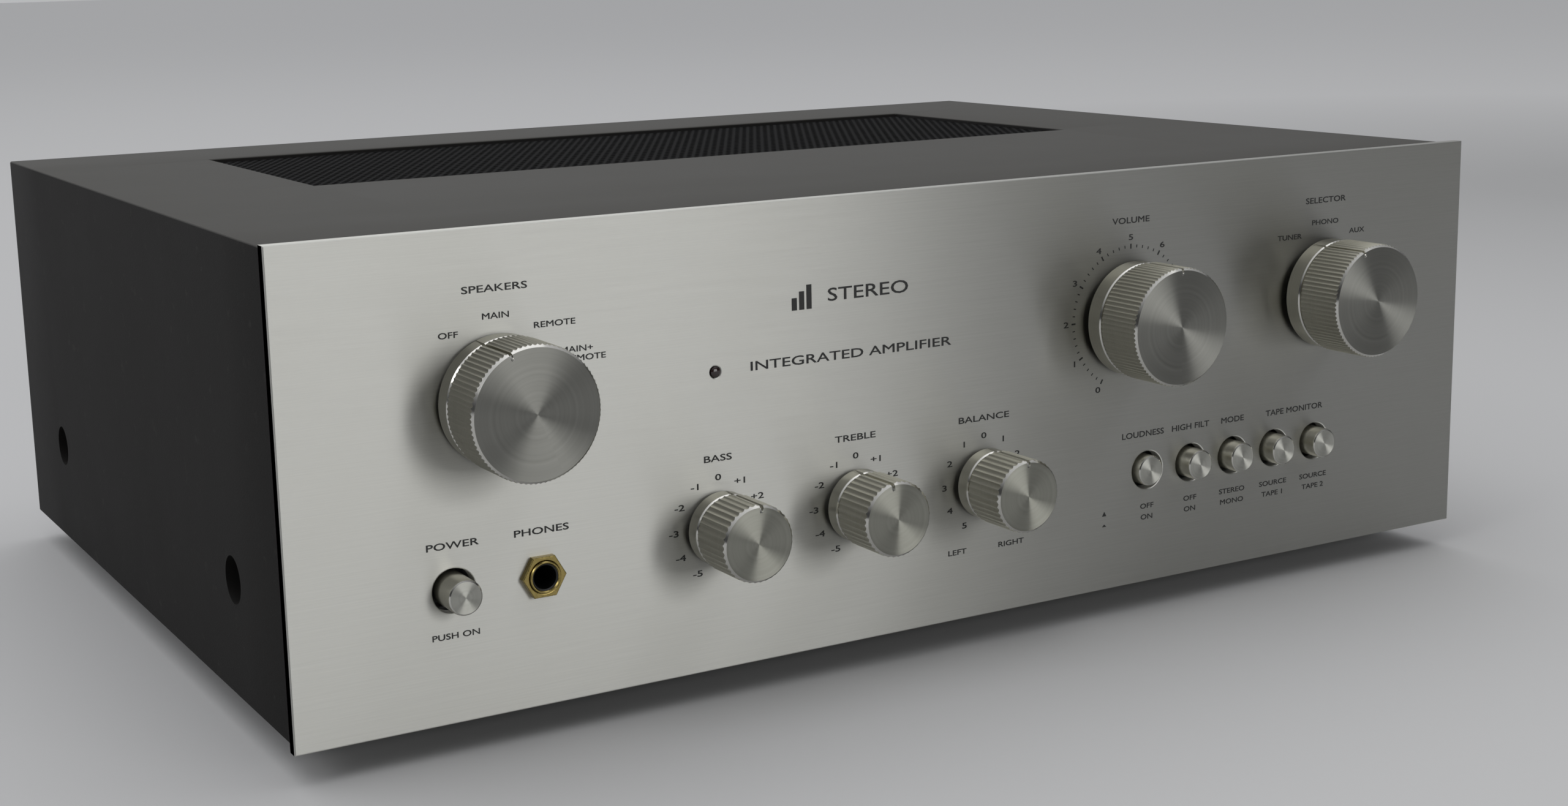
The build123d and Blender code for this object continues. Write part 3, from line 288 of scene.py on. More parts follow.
def turned_aluminium(name, colours, roughness, anisotropy, spacing, relief):
    """Aluminium as it leaves the lathe, then clear anodised: fine rings that turn a light into fans."""
    sockets = {"Metallic": 1.0, "Anisotropic": anisotropy, "Anisotropic Rotation": 0.25}
    material, tree, shader = new_material(name, sockets)
    place = add_node(tree, "ShaderNodeUVMap", uv_map="Lathe").outputs["UV"]
    rings = grain(tree, spacing, (0.0005, 1, 1), place, detail=1.0)
    surface(tree, shader, rings, colours, roughness, relief)
    tangent = add_node(tree, "ShaderNodeTangent", direction_type="UV_MAP", uv_map="Lathe")
    tree.links.new(tangent.outputs["Tangent"], shader.inputs["Tangent"])
    return material


def knob_finishes(name, side, face):
    """The three cuts of a knob: its satin side, its ringed face and the bright edges cut last."""
    cuts = (
        ("turned_satin", side, (0.28, 0.34), 0.3, 0.6 * MM, 0.001 * MM),
        ("spun_faced", face, (0.29, 0.33), 1.0, 0.9 * MM, 0.0003 * MM),
        ("bright_cut", ("cfcec9", "c2c1bb"), (0.12, 0.17), 0.2, MM, 0.0004 * MM),
    )
    return [turned_aluminium(f"{cut}_aluminium_{name}", *settings) for cut, *settings in cuts]


def screen_printed_ink(name, colour, worn):
    """Epoxy ink, screen printed and baked: even, nearly matt, with slightly broken coverage."""
    material, tree, shader = new_material(name, {"Roughness": 0.5, "Specular IOR Level": 0.35})
    cover = grain(tree, 0.12 * MM)
    surface(tree, shader, spread(tree, cover, 0.0, 1.0, 0.45, 0.8), (colour, worn), (0.45, 0.6), 0.002 * MM)
    return material


def nickel_plated_brass(name, colours, roughness):
    """Turned brass under a thin bright plating: warm metal with faint tool marks."""
    return speckled(name, {"Metallic": 1.0}, 1.2 * MM, colours, roughness, 0.004 * MM, (1, 6, 1))


def tinted_acrylic():
    """A moulded acrylic lens in smoke red: nearly black while unlit, with a hard glossy highlight."""
    sockets = {"IOR": 1.49, "Coat Weight": 0.5, "Coat Roughness": 0.05}
    smoke = ("1a0d0b", "241210")
    return speckled("smoked_acrylic_moulded", sockets, 0.8 * MM, smoke, (0.08, 0.14), 0.003 * MM)


# ---- finishes of the case and the rear


def vinyl_on_fibreboard():
    """Black embossed vinyl film wrapped over fibreboard.

    A fine pebble grain breaks up its sheen, and handling has polished some patches and scuffed others.
    The film on top is painted paler than on the sides, as painted light from overhead.
    The emboss is about a third of a millimetre across.
    """
    sockets = {"Specular IOR Level": 0.12, "IOR": 1.5}
    material, tree, shader = new_material("embossed_black_vinyl_film", sockets)
    looks = bpy.context.scene.amplifier_cabinet
    place = add_node(tree, "ShaderNodeTexCoord").outputs["Object"]
    cells = {"Vector": place, "Scale": 1 / looks.grain_size, "Randomness": 1.0}
    pebbles = add_node(tree, "ShaderNodeTexVoronoi", cells, feature="SMOOTH_F1").outputs["Distance"]
    handling = grain(tree, 38 * MM, (1, 1, 1), place)
    scuffs = grain(tree, 5 * MM, (0.3, 1, 1), place, detail=8.0)
    sheen = spread(tree, handling, looks.roughness - 0.02, looks.roughness + 0.03)
    tree.links.new(sheen, shader.inputs["Roughness"])
    scuffed = spread(tree, scuffs, 0.0, 0.2, 0.62, 0.8)
    # painted light: the top face is painted paler than the sides, standing in for the overhead light on it
    height = add_node(tree, "ShaderNodeSeparateXYZ", {"Vector": place}).outputs["Z"]
    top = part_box("cabinet_top")[1].z
    top_painted_light_mask = spread(tree, height, 0.0, 1.0, top - 0.5 * MM, top - 0.1 * MM)
    black = blend_colours(tree, handling, list(looks.vinyl) + [1], "1e1d1c")
    painted_light_top = blend_colours(tree, handling, "42413e", "484744")
    film = blend_colours(tree, top_painted_light_mask, black, painted_light_top)
    tree.links.new(blend_colours(tree, scuffed, film, "55534f"), shader.inputs["Base Color"])
    emboss = {"Height": pebbles, "Strength": 0.55, "Distance": 0.05 * MM}
    bump = add_node(tree, "ShaderNodeBump", emboss)
    tree.links.new(bump.outputs["Normal"], shader.inputs["Normal"])
    return material


def fibreboard_raw():
    """Bare medium-density fibreboard, sawn: a dull brown felt of short fibres."""
    dull, fibres = {"Specular IOR Level": 0.2}, ("7a5d3f", "94734f")
    return speckled("sawn_fibreboard", dull, 1.5 * MM, fibres, (0.8, 0.95), 0.08 * MM, (1, 0.3, 1))


def enamelled_steel(name, colours, roughness, size, shine=0.45):
    """Sheet steel under stoved enamel: even colour with the slight orange peel of sprayed paint."""
    return speckled(name, {"Specular IOR Level": shine}, size, colours, roughness, 0.015 * MM)


def zinc_plated_steel():
    """Sheet steel with a bright zinc plating: pale bluish metal in faint clouds."""
    pale = ("a9acab", "c3c5c2")
    return speckled("zinc_plated_steel_sheet", {"Metallic": 1.0}, 14 * MM, pale, (0.3, 0.45), 0.01 * MM)


def machined_steel(name, colours, roughness):
    """Steel as fasteners are made, cold headed and plated or blackened: small marks and soft glints."""
    return speckled(name, {"Metallic": 1.0}, 0.7 * MM, colours, roughness, 0.006 * MM)


def moulded_plastic(name, colours, roughness, size=0.5 * MM):
    """Injection-moulded plastic: even colour and the fine spark-eroded texture of its tool."""
    sockets = {"IOR": 1.53, "Specular IOR Level": 0.5}
    return speckled(name, sockets, size, colours, roughness, 0.012 * MM)


def moulded_rubber():
    """Compression-moulded rubber: matt charcoal with a dusty bloom."""
    dull, charcoal = {"Specular IOR Level": 0.3}, ("1b1b1b", "2a2a29")
    return speckled("moulded_nitrile_rubber", dull, 3 * MM, charcoal, (0.6, 0.8), 0.02 * MM)


def phenolic_paper_board():
    """Phenolic paper laminate: tan, faintly mottled by its paper, with a waxy gloss."""
    tan = ("8a6a3a", "9b7a45")
    return speckled("phenolic_paper_laminate", {"IOR": 1.55}, 6 * MM, tan, (0.35, 0.5), 0.005 * MM)


def varnished_laminations():
    """A stack of stamped steel sheets, dipped in varnish: dark metal with a line at each sheet."""
    name, dark = "varnished_steel_laminations", ("2a2826", "4a4642")
    return speckled(name, {"Metallic": 0.6}, 2 * MM, dark, (0.4, 0.6), 0.05 * MM, (0.1, 1, 0.1))


def cad_finishes():
    """A finish for each material slot of the record."""
    black_anodised = machined_steel("black_anodised_extrusion", ("151617", "202122"), (0.35, 0.5))
    zinc, fibreboard = zinc_plated_steel(), fibreboard_raw()
    return {
        "brushed_aluminium": zinc,
        "turned_aluminium": machined_steel("turned_aluminium_stem", ("b5b4ac", "c2c1ba"), (0.3, 0.4)),
        "vinyl_covering": fibreboard,
        "raw_wood": fibreboard,
        "black_steel": enamelled_steel("black_enamelled_steel", ("101010", "191919"), (0.4, 0.5), 1 * MM),
        "zinc_steel": zinc,
        "rear_paint": enamelled_steel(
            "satin_black_stoved_steel", ("1d1d1e", "262627"), (0.42, 0.55), 0.9 * MM,
        ),
        "screw_steel": machined_steel("zinc_plated_fastener_steel", ("b4b3ac", "cac9c2"), (0.25, 0.38)),
        "black_screw": machined_steel("blackened_fastener_steel", ("1c1c1c", "2c2b2a"), (0.35, 0.5)),
        "foot_rubber": moulded_rubber(),
        "shaft_steel": machined_steel("turned_shaft_steel", ("9c9b96", "b1b0aa"), (0.25, 0.35)),
        "can_steel": machined_steel("nickel_plated_can_steel", ("a5a49c", "bbb9b0"), (0.25, 0.4)),
        "switch_plastic": moulded_plastic("moulded_white_nylon", ("d8d4c6", "cfcabb"), (0.4, 0.5)),
        "circuit_board": phenolic_paper_board(),
        "brass": nickel_plated_brass("turned_yellow_brass", ("b08d4c", "c7a765"), (0.2, 0.32)),
        "lamp_lens": tinted_acrylic(),
        "nickel": nickel_plated_brass("nickel_plated_turned_brass", ("c4bfae", "d6d2c4"), (0.15, 0.25)),
        "black_plastic": moulded_plastic("moulded_black_phenolic", ("121212", "1c1c1b"), (0.3, 0.42)),
        "core_steel": varnished_laminations(),
        "coil_tape": moulded_plastic("wound_polyester_tape", ("9a7b2d", "b08f3a"), (0.25, 0.4), 3 * MM),
        "black_aluminium": black_anodised,
        "capacitor_sleeve": moulded_plastic("shrunk_pvc_sleeve", ("15233f", "1c2c4c"), (0.25, 0.35), 4 * MM),
    }


# ---- sizes and colours a user may change


def length(name, description, millimetres):
    """A length that a user may change."""
    return FloatProperty(name=name, description=description, default=millimetres * MM, unit="LENGTH")


def factor(name, description, value):
    """A plain number that a user may change."""
    return FloatProperty(name=name, description=description, default=value, subtype="FACTOR")


def colour(name, description, hex_code):
    """A colour that a user may change."""
    return FloatVectorProperty(
        name=name, description=description, default=linear(hex_code)[:3], subtype="COLOR",
    )


class FrontLooks(bpy.types.PropertyGroup):
    """The front panel and its print."""

    silver: colour("Aluminium", "Colour of the brushed panel", "b1b1ac")
    bevel: length("Bevel", "Bright bevel round the panel and its holes", 0.35)
    title_height: length("Title height", "Height of the capitals over each control", 1.8)
    label_height: length("Label height", "Height of the capitals and numbers at each position", 1.55)
    letter_width: factor("Letter width", "How much wider the letters are than the plain typeface", 1.62)
    weight: length("Weight", "How far the ink spreads at each side of a stroke", 0.05)
    ink: length("Ink", "Thickness of the printed ink", 0.03)


class KnobLooks(bpy.types.PropertyGroup):
    """The knobs' grip, edges and pointers."""

    large_flutes: IntProperty(name="Flutes, large", description="Flutes round a large knob", default=84)
    small_flutes: IntProperty(name="Flutes, small", description="Flutes round a small knob", default=40)
    flute_depth: length("Flute depth", "Depth of each flute in the grip", 0.32)
    chamfer: length("Chamfer", "Width of the bright edge round the face", 0.8)
    pointer_width: length("Pointer width", "Width of the pointer's groove at its mouth", 1.2)
    pointer_depth: length("Pointer depth", "Depth of the pointer's groove", 1.1)


class CabinetLooks(bpy.types.PropertyGroup):
    """The vinyl-covered cabinet."""

    vinyl: colour("Vinyl", "Colour of the vinyl film", "171615")
    roughness: factor("Roughness", "Roughness of the film's sheen", 0.7)
    grain_size: length("Grain", "Width of one pebble of the embossed grain", 0.45)
    corner: length("Corner", "Radius of the film where it folds over an edge", 0.6)


class VentLooks(bpy.types.PropertyGroup):
    """The perforated vent grille."""

    pitch: length("Pitch", "Distance between neighbouring holes", 3.1)
    hole: length("Hole", "Diameter of each hole", 2.0)


class StageLooks(bpy.types.PropertyGroup):
    """The floor, the light and the camera."""

    paper: colour("Paper", "Colour of the floor's seamless paper", "bcbcbc")
    extent: FloatProperty(
        name="Extent", description="Length of each side of the floor", default=24.0, unit="LENGTH",
    )
    room: FloatProperty(
        name="Room light", description="Brightness of the pale room round the stage", default=1.08, min=0.0,
    )
    lens: FloatProperty(
        name="Lens", description="Focal length in millimetres", default=50.0927, subtype="DISTANCE_CAMERA",
    )


# ---- front panel and its print


class AMPLIFIER_OT_front_panel(bpy.types.Operator):
    """Cuts the brushed panel with its control holes"""

    bl_idname = "amplifier.front_panel"
    bl_label = "Front panel"

    def execute(self, context):
        looks = context.scene.amplifier_front
        bm = bmesh.new()
        middle = (PANEL_LOW + PANEL_HIGH) / 2
        size = PANEL_HIGH - PANEL_LOW
        spot = Matrix.Translation((middle.x, PANEL_FACE, middle.z))
        place = spot @ UPRIGHT
        sheet = bmesh.ops.create_grid(
            bm, x_segments=1, y_segments=1, size=0.5, matrix=place @ Matrix.Diagonal((size.x, size.z, 1, 1))
        )
        bmesh.ops.delete(bm, geom=sheet["verts"][0].link_faces[:], context="FACES_ONLY")
        holes = [(f"{name}_knob", KNOB_HOLE) for name in (*LARGE_KNOBS, *SMALL_KNOBS)]
        holes += [(f"{name}_button", BUTTON_HOLE) for name in BUTTONS]
        holes += [("headphone_nut", JACK_HOLE), ("power_lamp", LAMP_HOLE)]
        for node, radius in holes:
            ring(bm, on_face(*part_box(node)), radius * MM, 72 if radius == BUTTON_HOLE else 40)
        solid_plate(bm, REAR * size.y, looks.bevel)
        flat_uv(bm, "Brushing")
        finishes = [brushed_anodised_aluminium()]
        finish_piece("brushed_front", bm, finishes, ["front_panel"])
        return {"FINISHED"}


def control_place(node):
    """The x and z of a control's axis, in metres."""
    low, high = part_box(node)
    return (low.x + high.x) / 2, (low.z + high.z) / 2


def print_word(bm, text, place, height, width, looks, back=False):
    """Prints a word centred at a place on the front, or on the back, as a film of ink."""
    curve = bpy.data.curves.new("word", "FONT")
    curve.body = text
    curve.align_x = "CENTER"
    curve.resolution_u = 3
    curve.extrude = looks.ink / 2
    curve.size = height / CAPITAL_HEIGHT
    word = bpy.data.objects.new("word", curve)
    bpy.context.scene.collection.objects.link(word)
    shaped = word.evaluated_get(bpy.context.evaluated_depsgraph_get())
    mesh = bpy.data.meshes.new_from_object(shaped)
    letters = bmesh.new()
    letters.from_mesh(mesh)
    bmesh.ops.remove_doubles(letters, verts=letters.verts, dist=0.0001 * MM)
    letters.normal_update()
    for vert in letters.verts:
        outward = Vector((vert.normal.x, vert.normal.y, 0))
        if outward.length > 0.1:
            vert.co += outward.normalized() * looks.weight
    letters.to_mesh(mesh)
    letters.free()
    depth = REAR_FACE + looks.ink / 2 if back else PANEL_FACE - looks.ink / 2
    spot = Matrix.Translation((place[0], depth, place[1] - height / 2))
    turn = Matrix.Rotation(math.pi if back else 0, 4, "Z") @ UPRIGHT
    mesh.transform(spot @ turn @ Matrix.Diagonal((width, 1, 1, 1)))
    bm.from_mesh(mesh)
    bpy.data.objects.remove(word)
    bpy.data.curves.remove(curve)
    bpy.data.meshes.remove(mesh)


def print_tick(bm, centre, radius, turn, length, width, film):
    """Prints one mark of a dial, pointing at its centre. The turn is clockwise from straight up."""
    angle = math.radians(turn)
    spot = Matrix.Translation((centre[0], PANEL_FACE - film / 2, centre[1]))
    place = spot @ Matrix.Rotation(angle, 4, "Y")
    size = Matrix.Diagonal((width, film, length, 1))
    bmesh.ops.create_cube(bm, size=1.0, matrix=place @ Matrix.Translation((0, 0, radius)) @ size)


def print_triangle(bm, place, width, height, film):
    """Prints a small triangle with its point up."""
    spot = Matrix.Translation((place[0], PANEL_FACE - film / 2, place[1]))
    size = Matrix.Diagonal((width / math.sqrt(3), height / 1.5, film, 1))
    bmesh.ops.create_cone(
        bm, cap_ends=True, segments=3, radius1=1.0, radius2=1.0, depth=1.0, matrix=spot @ UPRIGHT @ size
    )


class AMPLIFIER_OT_front_print(bpy.types.Operator):
    """Prints the words, numbers and marks of the front panel"""

    bl_idname = "amplifier.front_print"
    bl_label = "Front print"

    def execute(self, context):
        looks = context.scene.amplifier_front
        bm = bmesh.new()
        title, label = looks.title_height, looks.label_height

        def word(text, node, right, up, height=title, narrower=1.0):
            x, z = control_place(node)
            print_word(bm, text, (x + right * MM, z + up * MM), height, looks.letter_width * narrower, looks)

        # Over each control: a word, its place right of and above the axis, its height and its width
        narrow, narrower_still = 0.87, 0.8
        words = {
            "speakers_knob": (
                ("SPEAKERS", 0, 29.2), ("MAIN", 0, 22, label, narrow), ("OFF", -13.3, 18.1, label, narrow),
                ("REMOTE", 16.5, 18.3, label, narrow), ("MAIN+", 22.6, 10.8, label, narrow),
                ("REMOTE", 25, 8.3, label, narrow),
            ),
            "power_button": (("POWER", 0, 12.3), ("PUSH ON", 0, -12, label, narrow)),
            "headphone_nut": (("PHONES", 0.3, 12.4),),
            "bass_knob": (("BASS", 0, 19.6),),
            "treble_knob": (("TREBLE", 0, 19.6),),
            "balance_knob": (
                ("BALANCE", 0, 19.6), ("LEFT", -9.8, -20.1, label, 0.9), ("RIGHT", 9.9, -20.1, label, 0.9),
            ),
            "volume_knob": (("VOLUME", 0, 29.8, title, narrow),),
            "selector_knob": (
                ("SELECTOR", 0, 30, title, narrow), ("PHONO", 0, 22.9, label, narrow),
                ("TUNER", -15.2, 19, label, narrow), ("AUX", 14, 19.1, label, narrow),
            ),
            "loudness_button": (("LOUDNESS", -1.9, 11.7, title, narrower_still),),
            "high_filter_button": (("HIGH FILT", -0.2, 11.7, title, narrower_still),),
            "mode_button": (("MODE", -0.3, 11.7, title, narrower_still),),
            "tape_monitor_button": (("TAPE MONITOR", 8.6, 11.7, title, narrower_still),),
        }
        for node, texts in words.items():
            for text, *settings in texts:
                word(text, node, *settings)
        positions = {
            "loudness": ("OFF", "ON"),
            "high_filter": ("OFF", "ON"),
            "mode": ("STEREO", "MONO"),
            "tape_monitor": ("SOURCE", "TAPE 1"),
            "tape_select": ("SOURCE", "TAPE 2"),
        }
        for button, (out, latched) in positions.items():
            word(out, f"{button}_button", 0, -11.5, label, 0.85)
            word(latched, f"{button}_button", 0, -15, label, 0.85)
        word("STEREO", "power_lamp", 50, 17.8, 3.6 * MM, 0.93)
        word("INTEGRATED AMPLIFIER", "power_lamp", 44.5, 0.3, 2.5 * MM, 1.06)
        lamp = control_place("power_lamp")
        for bar, height in enumerate((3.5, 5.2, 6.9)):
            place = (lamp[0] + (25.5 + 2.4 * bar) * MM, lamp[1] + 14.4 * MM)
            print_tick(bm, place, height / 2 * MM, 0, height * MM, 1.7 * MM, looks.ink)
        loudness = control_place("loudness_button")
        for up, height in ((-12, 1.5), (-15.6, 0.8)):
            place = (loudness[0] - 16.9 * MM, loudness[1] + up * MM)
            print_triangle(bm, place, 1.7 * MM, height * MM, looks.ink)
        for knob in SMALL_KNOBS:
            for step in range(-5, 6):
                sign = "" if knob == "balance" or step == 0 else ("+" if step > 0 else "-")
                angle = math.radians(30 * step)
                right, up = 14.2 * math.sin(angle), 14.2 * math.cos(angle)
                word(f"{sign}{abs(step)}", f"{knob}_knob", right, up, 1.1 * label, 1.0)
        centre = control_place("volume_knob")
        for step in range(11):
            turn = 30 * step - 150
            angle = math.radians(turn)
            word(str(step), "volume_knob", 24.6 * math.sin(angle), 24.6 * math.cos(angle), 1.1 * label)
            print_tick(bm, centre, 21.8 * MM, turn, 1.5 * MM, 0.5 * MM, looks.ink)
            for part in range(1, 5) if step < 10 else ():
                print_tick(bm, centre, 21.8 * MM, turn + 6 * part, 0.9 * MM, 0.32 * MM, looks.ink)
        finish_piece("front_print", bm, [screen_printed_ink("black_screen_ink", "161616", "3c3c3a")])
        return {"FINISHED"}


class AMPLIFIER_OT_rear_print(bpy.types.Operator):
    """Prints the words over the sockets and terminals of the back"""

    bl_idname = "amplifier.rear_print"
    bl_label = "Rear print"

    def execute(self, context):
        looks = context.scene.amplifier_front
        bm = bmesh.new()
        label = looks.label_height

        def word(text, x, z, height=label):
            print_word(bm, text, (x, z), height, 1.3, looks, back=True)

        shell_radius, block, inset = 4.15 * MM, 58 * MM, 13 * MM
        low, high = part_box("phono_jack_shells")
        first, last = high.x - shell_radius, low.x + shell_radius
        sockets = ("PHONO", "TUNER", "AUX", "PLAY", "REC", "PLAY", "REC")
        last_socket = len(sockets) - 1
        places = [first + (last - first) * i / last_socket for i in range(len(sockets))]
        for text, x in zip(sockets, places):
            word(text, x, low.z - 4.5 * MM)
        word("INPUTS", places[1], high.z + 4 * MM)
        word("TAPE 1", (places[3] + places[4]) / 2, high.z + 4 * MM)
        word("TAPE 2", (places[5] + places[6]) / 2, high.z + 4 * MM)
        word("L", high.x + 4.5 * MM, high.z - 4.5 * MM, looks.title_height)
        word("R", high.x + 4.5 * MM, low.z + 3.8 * MM, looks.title_height)
        low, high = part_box("speaker_terminal_blocks")
        for text, x in (("SPEAKERS  MAIN", high.x - block / 2), ("SPEAKERS  REMOTE", low.x + block / 2)):
            word(text, x, high.z + 4 * MM, looks.title_height)
            word("+   L   -      -   R   +", x, low.z - 4 * MM)
        low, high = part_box("mains_outlets")
        word("AC OUTLETS", (low.x + high.x) / 2, high.z + 7 * MM, looks.title_height)
        word("UNSWITCHED", high.x - inset, high.z + 3 * MM)
        word("SWITCHED", low.x + inset, high.z + 3 * MM)
        low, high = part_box("fuse_holder")
        word("FUSE", (low.x + high.x) / 2, high.z + 4 * MM, looks.title_height)
        low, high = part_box("ground_terminal")
        word("GND", (low.x + high.x) / 2, low.z - 4 * MM, looks.title_height)
        finish_piece("rear_print", bm, [screen_printed_ink("white_screen_ink", "c9c9c2", "a3a39d")])
        return {"FINISHED"}


# ---- knobs, buttons, socket and lamp


def make_knob(name, angle, flutes, lip, looks, finishes):
    """Turns a knob, cuts its flutes and its pointer's groove, and sets it on its control."""
    low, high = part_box(f"{name}_knob")
    radius = (high.x - low.x) / 2 / MM
    face = (PANEL_FACE - low.y) / MM
    gap = (PANEL_FACE - high.y) / MM
    skirt = radius - 0.4
    neck = skirt - 0.7
    rim = looks.chamfer / MM
    notch_end = radius - rim - 1.5
    centre = on_face(low, high)
    across = Vector((math.sin(math.radians(angle)), 0, math.cos(math.radians(angle))))
    outline = [
        (0, BORE_END), (BORE, BORE_END), (BORE, gap), (skirt - 0.4, gap), (skirt, gap + 0.4),
        (skirt, lip - 0.4), (skirt - 0.35, lip), (neck, lip), (neck, lip + 0.8), (radius, lip + 1.1),
        (radius, face - rim), (radius - rim, face), (radius - rim - 0.7, face), (notch_end, face),
        (0.62 * radius, face), (0.34 * radius, face), (0.1 * radius, face), (0, face),
    ]
    bm = bmesh.new()
    steps = 6 * flutes
    half_groove = looks.pointer_width / MM / 4 / radius + math.pi / steps / 2
    lathe(bm, outline, centre, FRONT, across, steps)
    lathe_uv(bm, centre, FRONT, across)
    bm.normal_update()
    for part in bm.faces:
        heights = [around(vert.co, centre, FRONT, across)[2] / MM for vert in part.verts]
        reach, turn, _ = around(part.calc_center_median(), centre, FRONT, across)
        if min(heights) > face - 0.01 and abs(turn) < half_groove and reach > notch_end * MM:
            part.material_index = 2
        elif min(heights) > face - 0.01:
            part.material_index = 1
        elif min(heights) > 4 and 0.3 < abs(part.normal.dot(FRONT)) < 0.95:
            part.material_index = 2
    floor = radius - looks.pointer_depth / MM
    depth = looks.flute_depth / MM
    for vert in bm.verts:
        reach, turn, height = around(vert.co, centre, FRONT, across)
        reach, height = reach / MM, height / MM
        if reach < 3.1:
            continue
        outward = (vert.co - centre - FRONT * (height * MM)).normalized()
        if abs(turn) < half_groove and height > 1.8:
            if height > face - 0.01 and reach > notch_end:
                height -= 0.8 * (reach - notch_end) / (radius - rim - notch_end)
            reach = min(reach, floor) if reach > radius - rim else reach
        elif reach > radius - 0.05 and height > lip + 1:
            cut = depth * abs(math.sin(flutes * turn / 2))
            reach -= cut
            if height > face - rim - 0.05:
                height += cut
        vert.co = centre + outward * (reach * MM) + FRONT * (height * MM)
    finish_piece(
        f"{name}_fluted_knob", bm, finishes, [f"{name}_knob"], f"{name}_control",
        sharp=28,
    )


class AMPLIFIER_OT_knobs(bpy.types.Operator):
    """Turns and flutes the six knobs"""

    bl_idname = "amplifier.knobs"
    bl_label = "Knobs"

    def execute(self, context):
        looks = context.scene.amplifier_knobs
        large = knob_finishes("large_knobs", ("b6b4a8", "a8a69b"), ("82827d", "73736e"))
        small = knob_finishes("small_knobs", ("cbc9bd", "bdbbaf"), ("98988f", "8a8a82"))
        for name, angle in LARGE_KNOBS.items():
            make_knob(name, angle, looks.large_flutes, LARGE_LIP, looks, large)
        for name, angle in SMALL_KNOBS.items():
            make_knob(name, angle, looks.small_flutes, SMALL_LIP, looks, small)
        return {"FINISHED"}


class AMPLIFIER_OT_buttons(bpy.types.Operator):
    """Turns the six push buttons, each on its square stem"""

    bl_idname = "amplifier.buttons"
    bl_label = "Buttons"

    def execute(self, context):
        finishes = knob_finishes("buttons", ("cbc9bd", "bdbbaf"), ("b4b4ad", "a3a39c"))
        head_back = PANEL_HIGH.y + 5.5 * MM
        for name in BUTTONS:
            low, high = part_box(f"{name}_button")
            radius = (high.x - low.x) / 2 / MM
            face = (PANEL_FACE - low.y) / MM
            back = (PANEL_FACE - head_back) / MM
            centre = on_face(low, high)
            outline = [
                (0, back), (radius, back), (radius, face - 0.6), (radius - 0.15, face - 0.25),
                (radius - 0.5, face), (0.66 * radius, face), (0.33 * radius, face), (0, face),
            ]
            bm = bmesh.new()
            lathe(bm, outline, centre, FRONT, UP, 96)
            lathe_uv(bm, centre, FRONT, UP)
            for part in bm.faces:
                heights = [around(vert.co, centre, FRONT, UP)[2] / MM for vert in part.verts]
                if min(heights) > face - 0.01:
                    part.material_index = 1
                elif min(heights) > face - 0.3:
                    part.material_index = 2
            stem = high.y - head_back
            place = Matrix.Translation((centre.x, head_back + stem / 2, centre.z))
            bmesh.ops.create_cube(bm, size=1.0, matrix=place @ Matrix.Diagonal((4 * MM, stem, 4 * MM, 1)))
            finish_piece(
                f"{name}_turned_button", bm, finishes, [f"{name}_button"],
                f"{name}_push", sharp=28,
            )
        return {"FINISHED"}


class AMPLIFIER_OT_headphone_socket(bpy.types.Operator):
    """Makes the headphone socket's hex nut, threaded ring and dark lining"""

    bl_idname = "amplifier.headphone_socket"
    bl_label = "Headphone socket"

    def execute(self, context):
        brass = nickel_plated_brass("turned_brass_bushing", ("94834f", "ad9c63"), (0.2, 0.32))
        black = moulded_plastic("moulded_black_socket", ("0b0b0b", "131313"), (0.35, 0.5))
        low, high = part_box("headphone_nut")
        axis_point = on_face(low, high)
        front = Vector((axis_point.x, low.y, axis_point.z))
        across_flats = high.z - low.z
        bm = bmesh.new()
        ring(bm, front, across_flats / math.sqrt(3), 6)
        bmesh.ops.rotate(bm, verts=bm.verts, cent=front, matrix=Matrix.Rotation(math.radians(30), 3, "Y"))
        ring(bm, front, JACK_HOLE * MM, 48)
        solid_plate(bm, REAR * (high.y - low.y), 0.25 * MM)
        finish_piece("headphone_hex_nut", bm, [brass], ["headphone_nut"])
        tip = (PANEL_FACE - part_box("headphone_jack")[0].y) / MM
        bm = bmesh.new()
        collar = [
            (3.7, -9), (3.7, tip - 0.3), (3.95, tip), (4.2, tip), (4.4, tip - 0.25), (4.4, -9), (3.7, -9),
        ]
        lathe(bm, collar, axis_point, FRONT, UP, 64)
        finish_piece("headphone_bushing", bm, [brass])
        bm = bmesh.new()
        lining = [
            (0, -25.4), (3.3, -25.4), (3.3, tip - 0.7), (3.7, tip - 0.5), (3.7, -9), (7.6, -9), (7.6, -29),
            (0, -29),
        ]
        lathe(bm, lining, axis_point, FRONT, UP, 64)
        finish_piece("headphone_socket_body", bm, [black], ["headphone_jack"])
        return {"FINISHED"}


class AMPLIFIER_OT_power_lamp(bpy.types.Operator):
    """Turns the lamp's domed lens"""

    bl_idname = "amplifier.power_lamp"
    bl_label = "Power lamp"

    def execute(self, context):
        low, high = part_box("power_lamp")
        centre = on_face(low, high)
        tip = (PANEL_FACE - low.y) / MM
        back = (PANEL_FACE - high.y) / MM
        dome = [(1.5 * math.sin(math.radians(a)), tip * math.cos(math.radians(a))) for a in range(0, 91, 15)]
        outline = [*dome, (1.5, -3.7), (2.4, -3.7), (2.4, back), (0, back)]
        bm = bmesh.new()
        lathe(bm, outline, centre, FRONT, UP, 40)
        finish_piece("lamp_lens", bm, [tinted_acrylic()], ["power_lamp"])
        return {"FINISHED"}


# ---- cabinet, vent and feet


def cut_across(bm, place, normal, lowest=-1.0):
    """Divides the faces that a plane crosses, apart from any that reach below a height."""
    faces = [face for face in bm.faces if min(vert.co.z for vert in face.verts) > lowest]
    edges = {edge for face in faces for edge in face.edges}
    verts = {vert for face in faces for vert in face.verts}
    bmesh.ops.bisect_plane(
        bm, geom=[*verts, *edges, *faces], dist=WELD, plane_co=place, plane_no=normal
    )


def faces_near(bm, low, high):
    """The faces whose middles are inside a box."""
    found = []
    for face in bm.faces:
        middle = face.calc_center_median()
        if all(low[i] <= middle[i] <= high[i] for i in range(3)):
            found.append(face)
    return found


